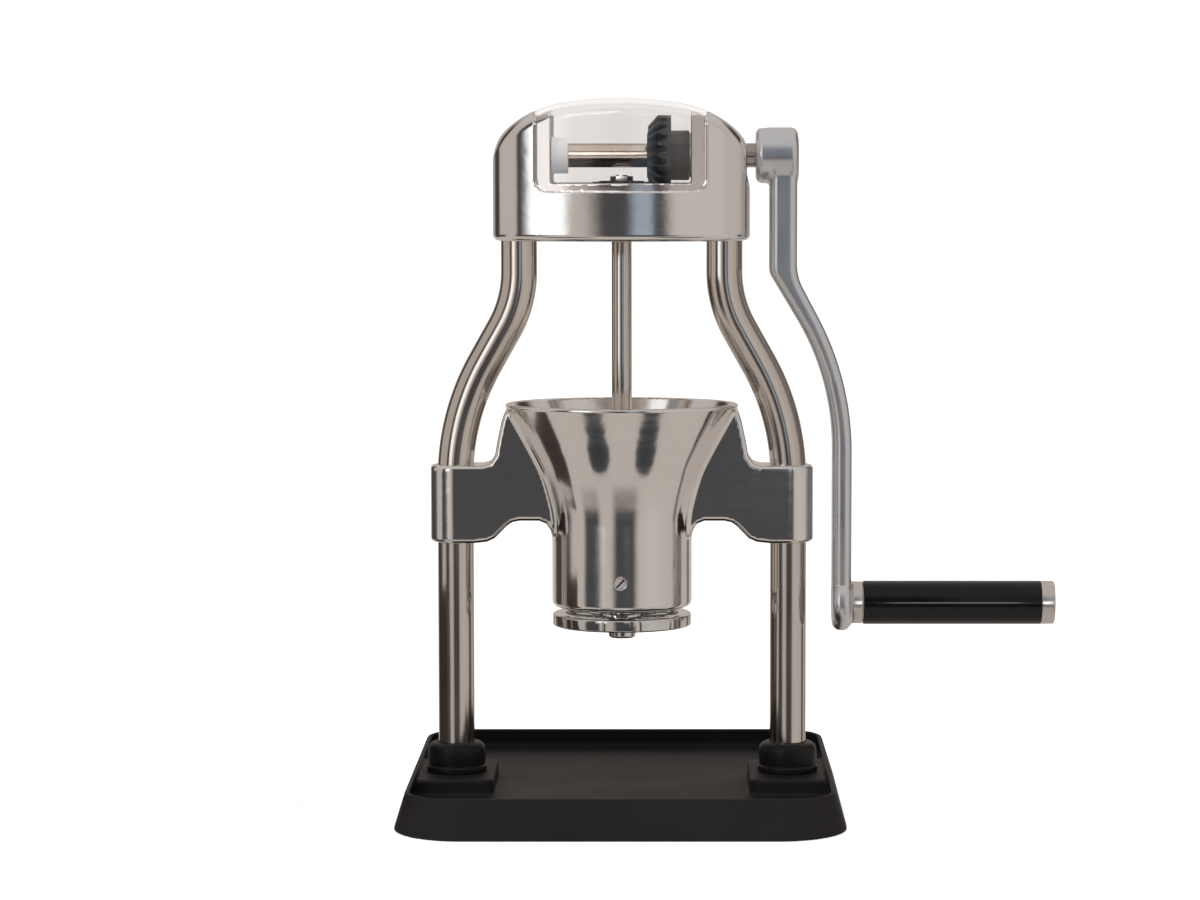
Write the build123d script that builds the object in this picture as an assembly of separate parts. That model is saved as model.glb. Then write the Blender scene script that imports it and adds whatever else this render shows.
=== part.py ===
from build123d import *
import math
import os

os.makedirs("parts", exist_ok=True)

# A hand-cranked coffee grinder: a bevel gear head on two bent columns, a hopper with a burr
# housing clamped half way up, and a tray base. Millimetres, +Z up, +X towards the crank.
# The origin is on the floor under the axis of the vertical drive shaft.

# Columns: one bent tube each side
COLUMN_D = 18.0
COLUMN_BORE = 14.0
COLUMN_TOP = 304.0
UPPER_X = 51.0
LOWER_X = 83.0
UPPER_BEND_Z = 252.8
LOWER_BEND_Z = 195.8
UPPER_BEND_R = 58.0
LOWER_BEND_R = 117.0

# Head
HEAD_HALF_WIDTH = 63.6
HEAD_HALF_DEPTH = 38.0
HEAD_BOTTOM = 283.5
HEAD_TOP = 353.4
CROWN_R = 190.0
CROWN_ANGLE = 8.6
SHOULDER_R = 55.0
CORNER_R = 20.0
PLAN_FRONT_R = 130.0
PLAN_CORNER_R = 24.0
HEAD_FLOOR = 290.0
HEAD_WALL = 5.0
CHEEK_X = 34.5
WINDOW_X = 42.0
WINDOW_BOTTOM = 307.7
WINDOW_CORNER_R = 6.0
LEDGE_Z = 311.8
COVER_THICKNESS = 2.5
COVER_SCREW_X = 38.3
COVER_SCREW_Z = 316.0
COVER_SEAT_Y = 31.0
FIT_GAP = 0.1

# Crank shaft and its bearings
CRANK_Z = 325.5
CRANK_SHAFT_D = 12.0
CRANK_SHAFT_LEFT = -55.9
CRANK_SHAFT_RIGHT = 84.0
BEARING_D = 18.0
RUNNING_GAP = 0.05

# Equal bevel gears, axes crossing at the crank shaft's height
TEETH = 20
PITCH_R = 19.0
MODULE = 2 * PITCH_R / TEETH
ADDENDUM = 0.67 * MODULE
DEDENDUM = 0.95 * MODULE
TOOTH_THINNING = 0.16
GEAR_TOE = 12.6
GEAR_HEEL = 18.0
GEAR_RIM_R = 19.8
GEAR_RIM_END = 24.5
GEAR_HUB_R = 12.3
GEAR_HUB_END = 33.5
GEAR_PIN_D = 3.0
GEAR_PIN_AT = 29.0

# Drive shaft
DRIVE_D = 10.0
DRIVE_STUD_D = 6.0
DRIVE_TOP = 315.8
DRIVE_THREAD_D = 8.0
DRIVE_THREAD_TOP = 110.0
DRIVE_BOTTOM = 87.0
NUT_FLATS = 10.0

# Centre casting: (height, half width, half depth) of the hopper's outer ellipses
HOPPER_RINGS = [
    (143.5, 34.8, 34.8),
    (150.0, 35.6, 35.1),
    (156.0, 37.0, 35.7),
    (168.4, 40.8, 37.4),
    (181.0, 47.0, 40.3),
    (192.0, 53.0, 43.6),
    (202.5, 58.8, 47.0),
]
HOPPER_WALL = 2.8
HOUSING_R = 34.8
HOUSING_BOTTOM = 101.0
THROAT_Z = 146.0
THROAT_R = 28.0
SPIDER_SEAT = 140.0
BURR_BORE_R = 24.1
SLEEVE_R = 12.5
SLEEVE_BOTTOM = 133.3
SLEEVE_TOP = 172.0
WING_FLAT_Z = 144.5

# Burrs and adjuster
BURR_BOTTOM = 104.5
BURR_TOP = 126.5
OUTER_BURR_R = 24.0
ADJUSTER_R = 34.6
ADJUSTER_INNER_R = 28.3
ADJUSTER_BOTTOM = 91.5
ADJUSTER_TOP = 97.5
ADJUSTER_NUT_R = 6.75
ADJUSTER_NUT_BOTTOM = 85.0
INDEX_GROOVES = 12
SPRING_BOTTOM = 126.6
SPRING_TOP = 133.0
SPRING_MEAN_R = 7.6
SPRING_WIRE_R = 0.6

# Crank arm and grip
HUB_R = 13.8
HUB_LEFT = 66.5
HUB_RIGHT = 87.3
ARM_TOP_X = (73.3, 86.9)
ARM_LOW_X = (104.9, 114.4)
EYE_R = 14.0
GRIP_Z = 102.5
COLLAR_END = 120.3
GRIP_START = 120.5
GRIP_END = 209.3
GRIP_R = 10.85
GRIP_BORE_R = 8.5
CAP_END = 216.0
SPINDLE_R = 4.0
SPINDLE_END = 207.0

# Base
BASE_HALF_WIDTH = 109.8
BASE_FRONT = -100.8
BASE_BACK = 127.8
BASE_FLARE = 5.8
BASE_CORNER_R = 35.0
BASE_RIM_CORNER_R = 24.0
RIM_Z = 19.5
RIM_WIDTH = 2.5
TRAY_FLOOR = 9.5
TRAY_UNDERSIDE = 7.0
PLATE_BOTTOM = 2.0
PLATFORM_X = 63.5
PLATFORM_FRONT = -29.0
PLATFORM_BACK = 36.0
PLATFORM_Z = 17.5
BOOT_R = 15.0
BOOT_TOP = 32.5
BOLT_D = 8.0


def rod(radius, low, high, x=0.0, y=0.0):
    """Upright cylinder from one height to another."""
    length = high - low
    return Pos(x, y, low + length / 2) * Cylinder(radius, length)


def cross_rod(radius, left, right, z, y=0.0):
    """Cylinder along X between two values of X."""
    length = right - left
    return Pos(left + length / 2, y, z) * Rot(0, 90, 0) * Cylinder(radius, length)


def deep_rod(radius, front, back, x, z):
    """Cylinder along Y between two values of Y."""
    length = back - front
    return Pos(x, front + length / 2, z) * Rot(90, 0, 0) * Cylinder(radius, length)


def block(x0, x1, y0, y1, z0, z1):
    """Box between two corners."""
    middle = Pos((x0 + x1) / 2, (y0 + y1) / 2, (z0 + z1) / 2)
    return middle * Box(x1 - x0, y1 - y0, z1 - z0)


def on_arc(centre, radius, degrees):
    """Point on a circle, with the angle counted from the vertical."""
    a = math.radians(degrees)
    return (centre[0] + radius * math.sin(a), centre[1] + radius * math.cos(a))


def head_front_face(inset):
    """Face of the head seen from the front: a crown, shoulders and corners in tangent arcs."""
    half = HEAD_HALF_WIDTH - inset
    crown_r = CROWN_R - inset
    shoulder_r = SHOULDER_R - inset
    corner_r = CORNER_R - inset
    crown = (0.0, HEAD_TOP - CROWN_R)
    shoulder = on_arc(crown, CROWN_R - SHOULDER_R, CROWN_ANGLE)
    sine = (HEAD_HALF_WIDTH - CORNER_R - shoulder[0]) / (SHOULDER_R - CORNER_R)
    turn = math.degrees(math.asin(sine))
    corner = on_arc(shoulder, SHOULDER_R - CORNER_R, turn)
    joins = [
        on_arc(crown, crown_r, CROWN_ANGLE),
        on_arc(shoulder, shoulder_r, (CROWN_ANGLE + turn) / 2),
        on_arc(shoulder, shoulder_r, turn),
        on_arc(corner, corner_r, (turn + 90) / 2),
        (half, corner[1]),
    ]
    left = [(-x, z) for x, z in joins]
    edges = [
        ThreePointArc(left[0], (0, HEAD_TOP - inset), joins[0]),
        ThreePointArc(joins[0], joins[1], joins[2]),
        ThreePointArc(joins[2], joins[3], joins[4]),
        Line(joins[4], (half, HEAD_BOTTOM)),
        Line((half, HEAD_BOTTOM), (-half, HEAD_BOTTOM)),
        Line((-half, HEAD_BOTTOM), left[4]),
        ThreePointArc(left[4], left[3], left[2]),
        ThreePointArc(left[2], left[1], left[0]),
    ]
    return make_face([(Plane.XZ * e).edge() for e in edges])


def head_plan_face(inset):
    """Face of the head seen from above: bowed front and back with round corners."""
    half = HEAD_HALF_WIDTH - inset
    depth = HEAD_HALF_DEPTH - inset
    front_r = PLAN_FRONT_R - inset
    corner_r = PLAN_CORNER_R - inset
    bow = PLAN_FRONT_R - HEAD_HALF_DEPTH
    reach = PLAN_FRONT_R - PLAN_CORNER_R
    corner_x = HEAD_HALF_WIDTH - PLAN_CORNER_R
    corner_y = math.sqrt(reach**2 - corner_x**2) - bow
    turn = math.degrees(math.asin(corner_x / reach))
    start = on_arc((0, -bow), front_r, turn)
    middle = on_arc((corner_x, corner_y), corner_r, (turn + 90) / 2)
    edges = []
    for sy in (1, -1):
        bow_start = (-start[0], sy * start[1])
        bow_end = (start[0], sy * start[1])
        edges.append(ThreePointArc(bow_start, (0, sy * depth), bow_end))
        for sx in (1, -1):
            corner_start = (sx * start[0], sy * start[1])
            corner_middle = (sx * middle[0], sy * middle[1])
            corner_end = (sx * half, sy * corner_y)
            edges.append(ThreePointArc(corner_start, corner_middle, corner_end))
    for sx in (1, -1):
        edges.append(Line((sx * half, -corner_y), (sx * half, corner_y)))
    return make_face([e.edge() for e in edges])


def head_block(inset, top_round=0.0):
    """Solid envelope of the head, pulled in by an inset."""
    front = extrude(head_front_face(inset), amount=2 * HEAD_HALF_DEPTH, both=True)
    plan = extrude(Pos(0, 0, HEAD_BOTTOM - 1) * head_plan_face(inset), amount=HEAD_TOP)
    body = front & plan
    if top_round:
        high = body.edges().filter_by(lambda e: e.center().Z > HEAD_BOTTOM + 20)
        body = fillet(high.filter_by(lambda e: abs(e.center().Y) > 2), top_round)
    return body


def window_prism(margin, low, half):
    """Prism along Y of the window's opening, square above and with round lower corners."""
    height = 100.0
    outline = RectangleRounded(2 * (half - margin), height - 2 * margin, WINDOW_CORNER_R)
    sketch = Plane.XZ * Pos(0, low + height / 2) * outline
    return extrude(sketch, amount=2 * HEAD_HALF_DEPTH, both=True)


def head_casting():
    """Cradle: floor, two cheeks, a rebate for the cover, bearing bores and column sockets."""
    body = head_block(0, top_round=7.0)
    body -= window_prism(0, WINDOW_BOTTOM, WINDOW_X) - head_block(COVER_THICKNESS + FIT_GAP, top_round=5.0)
    body -= block(-CHEEK_X, CHEEK_X, -60, 60, LEDGE_Z, HEAD_TOP + 5)
    body -= head_block(HEAD_WALL) & block(-CHEEK_X, CHEEK_X, -60, 60, HEAD_FLOOR, HEAD_TOP)
    body += rod(10.0, HEAD_FLOOR - 1, 291.0)
    body -= rod(8.0, HEAD_BOTTOM - 1, 292.0)
    body -= cross_rod(BEARING_D / 2, -56.0, -CHEEK_X + 1, CRANK_Z)
    body -= cross_rod(BEARING_D / 2, CHEEK_X - 1, HEAD_HALF_WIDTH + 1, CRANK_Z)
    body -= cross_rod(17.0, 62.0, HEAD_HALF_WIDTH + 5, CRANK_Z)
    for side in (-1, 1):
        body -= rod(COLUMN_D / 2, HEAD_BOTTOM - 1, COLUMN_TOP, x=side * UPPER_X)
        body -= deep_rod(3.0, COLUMN_D / 2 - 2, HEAD_HALF_DEPTH + 1, side * UPPER_X, 294.0)
        body -= deep_rod(1.5, 20.0, HEAD_HALF_DEPTH, side * COVER_SCREW_X, COVER_SCREW_Z)
    return body


def gear_cover():
    """Clear saddle: front skirt, top and rear skirt in one bent moulding."""
    skin = head_block(0, top_round=7.0) - head_block(COVER_THICKNESS, top_round=5.0)
    cover = skin & window_prism(FIT_GAP, WINDOW_BOTTOM, WINDOW_X)
    for side in (-1, 1):
        cover -= deep_rod(1.6, 20.0, HEAD_HALF_DEPTH + 1, side * COVER_SCREW_X, COVER_SCREW_Z)
        cover -= deep_rod(3.0, COVER_SEAT_Y, HEAD_HALF_DEPTH + 1, side * COVER_SCREW_X, COVER_SCREW_Z)
    return cover


def screw_along_y(radius, front, back, x, z, head_r=0.0, head_length=0.0, recess=0.8):
    """Screw whose axis is along Y, with its drive recess at the back end."""
    screw = deep_rod(radius, front, back, x, z)
    if head_r:
        screw += deep_rod(head_r, back, back + head_length, x, z)
    end = back + head_length
    return screw - deep_rod(recess, end - 1.2, end + 1, x, z)


def cover_screws():
    """Two button screws in the rear skirt of the cover."""
    return [
        screw_along_y(1.45, 22.0, COVER_SEAT_Y, side * COVER_SCREW_X, COVER_SCREW_Z, 2.8, 1.3)
        for side in (-1, 1)
    ]


def head_grub_screws():
    """Grub screws that hold the columns in the head's sockets."""
    return [
        screw_along_y(2.95, COLUMN_D / 2, 19.0, side * UPPER_X, 294.0, recess=1.5) for side in (-1, 1)
    ]


def gear_outline():
    """Tooth outline on the plane square to the axis at the pitch radius from the apex."""
    slope = math.sqrt(0.5)
    back_r = PITCH_R / slope
    base_r = back_r * math.cos(math.radians(20.0))
    half_pitch = (math.pi * MODULE / 2 - TOOTH_THINNING) / (2 * back_r)

    def involute(radius):
        if radius <= base_r:
            return 0.0
        t = math.sqrt((radius / base_r) ** 2 - 1)
        return t - math.atan(t)

    def section(radius, angle):
        out = slope * radius
        return (out * PITCH_R / (2 * PITCH_R - out), angle / slope)

    steps = 4
    low = back_r - DEDENDUM
    radii = [low + (ADDENDUM + DEDENDUM) * i / steps for i in range(steps + 1)]
    flank = []
    for radius in radii:
        flank.append(section(radius, half_pitch + involute(back_r) - involute(radius)))
    points = []
    for tooth in range(TEETH):
        centre = 2 * math.pi * tooth / TEETH
        for r, a in flank:
            points.append((r * math.cos(centre - a), r * math.sin(centre - a)))
        for r, a in reversed(flank):
            points.append((r * math.cos(centre + a), r * math.sin(centre + a)))
    return points


def bevel_gear(bore_r, toe_bore_r):
    """Bevel gear on +Z with its pitch apex at the origin, a tooth centred on +X, and a hub."""
    points = gear_outline()

    def scaled(height):
        k = height / PITCH_R
        return Pos(0, 0, height) * make_face(Polyline([(x * k, y * k) for x, y in points], close=True))

    star = loft([scaled(10.0), scaled(GEAR_RIM_END)], ruled=True)
    blank_points = [
        (0, GEAR_TOE),
        (11.0, GEAR_TOE),
        (12.0, 13.6),
        (14.3, 13.0),
        (GEAR_RIM_R, GEAR_HEEL),
        (GEAR_RIM_R, GEAR_RIM_END),
        (0, GEAR_RIM_END),
    ]
    blank = revolve(Plane.XZ * make_face(Polyline(blank_points, close=True)), Axis.Z)
    gear = (star & blank) + rod(GEAR_HUB_R, GEAR_RIM_END - 1, GEAR_HUB_END)
    gear -= rod(bore_r, GEAR_TOE + 4, GEAR_HUB_END + 1)
    gear -= rod(toe_bore_r, GEAR_TOE - 1, GEAR_TOE + 5)
    return gear


def gear_pin(length):
    """Pin across a gear's hub, lying along X at its height on the hub."""
    return Pos(0, 0, GEAR_PIN_AT) * Rot(0, 90, 0) * Cylinder(GEAR_PIN_D / 2, length)


CRANK_GEAR_PLACE = Pos(0, 0, CRANK_Z) * Rot(0, 90, 0)
SHAFT_GEAR_PLACE = Pos(0, 0, CRANK_Z) * Rot(180, 0, 0) * Rot(0, 0, 180 / TEETH)
PIN_TURN = Rot(0, 0, 53.0)


def crank_gear():
    """Gear on the crank shaft, with a tooth pointing straight down."""
    gear = bevel_gear(CRANK_SHAFT_D / 2, CRANK_SHAFT_D / 2)
    gear -= PIN_TURN * gear_pin(2 * GEAR_HUB_R + 2)
    return CRANK_GEAR_PLACE * gear


def crank_gear_pin():
    """Pin that locks the crank gear to its shaft."""
    return CRANK_GEAR_PLACE * PIN_TURN * gear_pin(2 * GEAR_HUB_R)


def crank_shaft():
    """Horizontal steel shaft, with chamfered ends."""
    length = CRANK_SHAFT_RIGHT - CRANK_SHAFT_LEFT
    shaft = Cylinder(CRANK_SHAFT_D / 2, length)
    shaft = chamfer(shaft.edges().filter_by(GeomType.CIRCLE), 0.8)
    middle = (CRANK_SHAFT_LEFT + CRANK_SHAFT_RIGHT) / 2
    shaft = Pos(middle, 0, CRANK_Z) * Rot(0, 90, 0) * shaft
    return shaft - CRANK_GEAR_PLACE * PIN_TURN * gear_pin(2 * GEAR_HUB_R)


def crank_washer():
    """Thrust washer between the crank gear and the right cheek."""
    low = GEAR_HUB_END + FIT_GAP
    high = CHEEK_X - FIT_GAP
    return cross_rod(11.0, low, high, CRANK_Z) - cross_rod(CRANK_SHAFT_D / 2, low - 1, high + 1, CRANK_Z)


def crank_bearing(left, right):
    """Plain bearing sleeve of the crank shaft."""
    sleeve = cross_rod(BEARING_D / 2, left, right, CRANK_Z)
    bore = cross_rod(CRANK_SHAFT_D / 2 + RUNNING_GAP, left - 1, right + 1, CRANK_Z)
    sleeve = chamfer((sleeve - bore).edges().filter_by(GeomType.CIRCLE).sort_by(Axis.X)[0:1], 0.6)
    return sleeve


def shaft_gear():
    """Gear on the drive shaft, facing up."""
    gear = bevel_gear(DRIVE_D / 2, DRIVE_STUD_D / 2)
    gear -= gear_pin(2 * GEAR_HUB_R + 2)
    return SHAFT_GEAR_PLACE * gear


def shaft_gear_pin():
    """Pin that locks the drive shaft's gear."""
    return SHAFT_GEAR_PLACE * gear_pin(2 * GEAR_HUB_R)


def drive_shaft():
    """Vertical shaft: threaded lower end, keyway, stud for the nut on top."""
    shoulder = CRANK_Z - GEAR_TOE - 4
    shaft = rod(DRIVE_D / 2, DRIVE_THREAD_TOP, shoulder)
    shaft += rod(DRIVE_STUD_D / 2, shoulder - 1, DRIVE_TOP)
    shaft += rod(DRIVE_THREAD_D / 2, DRIVE_BOTTOM, DRIVE_THREAD_TOP + 1)
    shaft -= SHAFT_GEAR_PLACE * gear_pin(2 * GEAR_HUB_R)
    shaft -= block(3.5, 6.5, -1.5, 1.5, 112.0, 124.0)
    shaft -= rod(DRIVE_D / 2 + 1, 134.0, 135.0) - rod(4.6, 133.0, 136.0)
    return shaft


def shaft_nut():
    """Thin hexagon nut on top of the drive shaft."""
    low = CRANK_Z - GEAR_TOE
    hexagon = RegularPolygon(NUT_FLATS / 2, 6, major_radius=False)
    nut = extrude(Pos(0, 0, low) * hexagon, amount=2.4)
    return nut - rod(DRIVE_STUD_D / 2, low - 1, low + 4)


def drive_key():
    """Key in the shaft that turns the inner burr and lets it slide."""
    return block(3.5, 6.5, -1.5, 1.5, 112.0, 124.0)


def head_bush():
    """Flanged bush of the drive shaft in the head's floor."""
    bush = rod(8.0, HEAD_BOTTOM + 0.5, 291.0) + rod(9.5, 291.0, 291.9)
    return bush - rod(DRIVE_D / 2 + RUNNING_GAP, HEAD_BOTTOM - 1, 293.0)


def column_core(side, diameter):
    """Solid along a column's bent centre line."""
    points = [
        (side * UPPER_X, 0, COLUMN_TOP),
        (side * UPPER_X, 0, UPPER_BEND_Z),
        (side * LOWER_X, 0, LOWER_BEND_Z),
        (side * LOWER_X, 0, TRAY_UNDERSIDE),
    ]
    path = FilletPolyline(points, radius=[UPPER_BEND_R, LOWER_BEND_R])
    start = Plane(origin=points[0], z_dir=(0, 0, -1))
    return sweep(start * Circle(diameter / 2), path=path)


def column(side):
    """Bent tube from the base plate up into the head."""
    return column_core(side, COLUMN_D) - column_core(side, COLUMN_BORE)


def hopper_skin(inset, rings):
    """Smooth loft through the hopper's ellipses, pulled in by an inset."""
    sections = []
    for z, a, b in rings:
        sections.append(Pos(0, 0, z) * Ellipse(a - inset, b - inset))
    return loft(sections)


def wing_block():
    """Both wings and clamp sleeves: an outline along Y within a round-ended plan."""
    half = [
        (0, 198.5),
        (58.0, 198.5),
        (59.6, 194.0),
        (61.7, 184.0),
        (62.9, 177.0),
        (65.5, 173.2),
        (69.5, SLEEVE_TOP),
        (97.0, SLEEVE_TOP),
        (97.0, SLEEVE_BOTTOM),
        (73.5, SLEEVE_BOTTOM),
        (67.0, 134.0),
        (63.0, 135.8),
        (57.0, 141.9),
        (54.5, 143.7),
        (51.0, WING_FLAT_Z),
        (41.0, WING_FLAT_Z),
        (37.5, 143.0),
        (35.5, 140.0),
        (34.0, 137.0),
        (0, 137.0),
    ]
    wings = None
    for side in (-1, 1):
        outline = make_face(Polyline([(side * x, z) for x, z in half], close=True))
        solid = extrude(Plane.XZ * outline, amount=SLEEVE_R, both=True)
        wings = solid if wings is None else wings + solid
    plan = Pos(0, 0, 100) * SlotOverall(2 * (LOWER_X + SLEEVE_R), 2 * SLEEVE_R)
    wings &= extrude(plan, amount=120)
    return wings


def centre_casting():
    """Hopper, wings with clamp sleeves and burr housing, cast in one."""
    z0 = HOPPER_RINGS[0][0]
    outer = hopper_skin(0, HOPPER_RINGS) + rod(HOUSING_R, HOUSING_BOTTOM, z0)
    outer = fillet(outer.edges().filter_by(GeomType.CIRCLE).sort_by(Axis.Z)[0], 3.0)
    body = outer + wing_block()
    inner_rings = [r for r in HOPPER_RINGS if r[0] > 150.0]
    inner_rings.insert(0, (THROAT_Z, THROAT_R + HOPPER_WALL, THROAT_R + HOPPER_WALL))
    top = HOPPER_RINGS[-1]
    inner_rings[-1] = (top[0] + 0.2, top[1], top[2])
    body -= hopper_skin(HOPPER_WALL, inner_rings)
    body -= rod(THROAT_R, SPIDER_SEAT, THROAT_Z + 0.5)
    body -= rod(BURR_BORE_R, HOUSING_BOTTOM - 1, SPIDER_SEAT + 1)
    body -= rod(29.5, HOUSING_BOTTOM - 1, HOUSING_BOTTOM + 2)
    body -= deep_rod(2.7, -HOUSING_R - 1, -20.0, -0.5, 115.7)
    for side in (-1, 1):
        body -= column_core(side, COLUMN_D)
        body -= deep_rod(2.5, 5.0, SLEEVE_R + 1, side * LOWER_X, 152.0)
    return body


def clamp_screws():
    """Grub screws at the back of the clamp sleeves."""
    return [
        screw_along_y(2.45, COLUMN_D / 2, SLEEVE_R - 0.3, side * LOWER_X, 152.0, recess=1.3)
        for side in (-1, 1)
    ]


def burr_lock_screw():
    """Slotted screw in the front of the housing that holds the outer burr."""
    end = -HOUSING_R - 0.1
    screw = deep_rod(2.65, end, -23.2, -0.5, 115.7)
    slot = Pos(-0.5, end, 115.7) * Rot(0, 45, 0) * Box(0.9, 1.6, 7.0)
    return screw - slot


def bearing_spider():
    """Three-armed bridge that holds the lower bush in the hopper's throat."""
    ring = rod(THROAT_R - 0.1, SPIDER_SEAT, 145.0) - rod(24.5, SPIDER_SEAT - 1, 146.0)
    hub = rod(10.0, 136.5, 147.5)
    arms = None
    for i in range(3):
        arm = Rot(0, 0, 90 + 120 * i) * block(8.0, 26.0, -2.5, 2.5, SPIDER_SEAT, 145.0)
        arms = arm if arms is None else arms + arm
    return ring + arms + hub - rod(7.0, 135.0, 149.0)


def spider_bush():
    """Lower bush of the drive shaft."""
    return rod(7.0, 136.5, 147.5) - rod(DRIVE_D / 2 + RUNNING_GAP, 135.0, 149.0)


def burr_spring():
    """Compression spring that presses the inner burr down on the adjuster."""
    low = SPRING_BOTTOM + SPRING_WIRE_R + 0.05
    high = SPRING_TOP - SPRING_WIRE_R - 0.05
    path = Pos(0, 0, low) * Helix(pitch=(high - low) / 3.0, height=high - low, radius=SPRING_MEAN_R)
    start = Plane(origin=path @ 0, z_dir=path % 0)
    return sweep(start * Circle(SPRING_WIRE_R), path=path)


def spring_washer():
    """Washer between the spring and its retaining clip."""
    return rod(9.0, SPRING_TOP, 134.0) - rod(DRIVE_D / 2, SPRING_TOP - 1, 135.0)


def shaft_clip():
    """Retaining clip in the shaft's groove above the spring."""
    clip = rod(6.6, 134.0, 135.0) - rod(4.6, 133.0, 136.0)
    return clip - block(0, 8.0, -2.0, 2.0, 133.0, 136.0)


def inner_burr():
    """Conical burr with slanting grooves, sliding on the shaft's key."""
    outline = [
        (5.0, BURR_BOTTOM),
        (20.2, BURR_BOTTOM),
        (20.4, 106.5),
        (13.2, 119.0),
        (9.0, 125.0),
        (9.0, SPRING_BOTTOM),
        (5.0, SPRING_BOTTOM),
    ]
    burr = revolve(Plane.XZ * make_face(Polyline(outline, close=True)), Axis.Z)
    grooves = 8
    for i in range(grooves):
        cutter = Pos(15.5, 0, 116.5) * Rot(28, -30, 0) * Box(3.4, 2.4, 20.0)
        burr -= Rot(0, 0, 360 / grooves * i) * Pos(1.6, 0, 0) * cutter
    burr -= rod(DRIVE_D / 2 + RUNNING_GAP, BURR_BOTTOM - 1, SPRING_BOTTOM + 1)
    burr -= block(3.0, 6.55, -1.55, 1.55, BURR_BOTTOM - 1, SPRING_BOTTOM + 1)
    return burr


def outer_burr():
    """Ring burr locked in the housing, with grooves down its inner cone."""
    outline = [
        (22.0, BURR_BOTTOM),
        (OUTER_BURR_R, BURR_BOTTOM),
        (OUTER_BURR_R, BURR_TOP),
        (20.5, BURR_TOP),
        (17.2, 119.0),
        (22.0, 108.5),
    ]
    burr = revolve(Plane.XZ * make_face(Polyline(outline, close=True)), Axis.Z)
    grooves = 16
    for i in range(grooves):
        burr -= Rot(0, 0, 360 / grooves * i) * Pos(18.6, 0, 119.0) * Rot(18, 0, 0) * Box(3.0, 1.6, 17.0)
    return burr - deep_rod(2.8, -26.0, -22.9, -0.5, 115.7)


def adjuster_ring():
    """Ring with index grooves, three spokes and a hub."""
    ring = rod(ADJUSTER_R, ADJUSTER_BOTTOM, ADJUSTER_TOP)
    ring = fillet(ring.edges().filter_by(GeomType.CIRCLE), 0.9)
    ring -= rod(ADJUSTER_INNER_R, ADJUSTER_BOTTOM - 1, ADJUSTER_TOP + 1)
    for i in range(3):
        spoke = block(8.0, ADJUSTER_INNER_R + 1, -3.5, 3.5, ADJUSTER_BOTTOM + 0.5, ADJUSTER_TOP - 2)
        ring += Rot(0, 0, 30 + 120 * i) * spoke
    ring += rod(11.0, ADJUSTER_BOTTOM, ADJUSTER_TOP)
    ring -= rod(ADJUSTER_NUT_R, ADJUSTER_BOTTOM - 1, ADJUSTER_TOP + 1)
    for i in range(INDEX_GROOVES):
        groove = block(ADJUSTER_R - 0.6, ADJUSTER_R + 1, -0.3, 0.3, ADJUSTER_BOTTOM - 1, ADJUSTER_TOP + 1)
        ring -= Rot(0, 0, 15 + 360 / INDEX_GROOVES * i) * groove
    return ring


def adjuster_nut():
    """Threaded insert of the ring, which carries the inner burr on its top face."""
    nut = rod(ADJUSTER_NUT_R, ADJUSTER_NUT_BOTTOM, BURR_BOTTOM - 0.02)
    nut = fillet(nut.edges().filter_by(GeomType.CIRCLE).sort_by(Axis.Z)[0], 1.2)
    return nut - rod(DRIVE_THREAD_D / 2 + RUNNING_GAP, ADJUSTER_NUT_BOTTOM - 1, BURR_BOTTOM + 1)


def crank_arm():
    """Cast arm: hub on the shaft, a straight top, a slanted middle and a straight drop to the eye."""
    inner = FilletPolyline(
        [(ARM_TOP_X[0], 339), (ARM_TOP_X[0], 267.2), (ARM_LOW_X[0], 214.6), (ARM_LOW_X[0], 80)],
        radius=[10.0, 125.0],
    )
    outer = FilletPolyline(
        [(ARM_TOP_X[1], 339), (ARM_TOP_X[1], 265.6), (ARM_LOW_X[1], 213.7), (ARM_LOW_X[1], 80)],
        radius=[25.0, 144.0],
    )
    edges = inner.edges() + outer.edges()
    edges += Line((ARM_TOP_X[0], 339), (ARM_TOP_X[1], 339)).edges()
    edges += Line((ARM_LOW_X[0], 80), (ARM_LOW_X[1], 80)).edges()
    ribbon = extrude(Plane.XZ * make_face(edges), amount=20, both=True)
    side = Polyline([(-11.5, CRANK_Z), (11.5, CRANK_Z), (10.0, GRIP_Z), (-10.0, GRIP_Z)], close=True)
    flank = make_face(side) + Pos(0, CRANK_Z) * Circle(HUB_R) + Pos(0, GRIP_Z) * Circle(EYE_R)
    arm = ribbon & extrude(Plane.YZ * flank, amount=200)
    arm += cross_rod(HUB_R, HUB_LEFT, HUB_RIGHT, CRANK_Z)
    arm += cross_rod(11.0, ARM_LOW_X[1] - 1, 115.0, GRIP_Z)
    arm -= cross_rod(CRANK_SHAFT_D / 2, HUB_LEFT - 1, CRANK_SHAFT_RIGHT, CRANK_Z)
    arm -= cross_rod(SPINDLE_R, ARM_LOW_X[0] + 2.0, 117.0, GRIP_Z)
    return arm - rod(2.5, CRANK_Z, CRANK_Z + 20, x=70.0)


def hub_screw():
    """Set screw in the crank hub, standing on the shaft."""
    screw = rod(2.45, CRANK_Z + CRANK_SHAFT_D / 2, CRANK_Z + HUB_R - 0.6, x=70.0)
    return screw - rod(1.3, CRANK_Z + HUB_R - 2.5, CRANK_Z + HUB_R, x=70.0)


def grip_spindle():
    """Fixed spindle in the arm's eye."""
    spindle = cross_rod(SPINDLE_R, ARM_LOW_X[0] + 2.0, SPINDLE_END, GRIP_Z)
    groove = cross_rod(SPINDLE_R + 1, 204.0, 205.0, GRIP_Z) - cross_rod(3.2, 203.0, 206.0, GRIP_Z)
    return spindle - groove


def grip_collar():
    """Steel collar between the eye and the grip."""
    collar = cross_rod(10.5, 115.0, COLLAR_END, GRIP_Z)
    return collar - cross_rod(SPINDLE_R, 114.0, COLLAR_END + 1, GRIP_Z)


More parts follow.
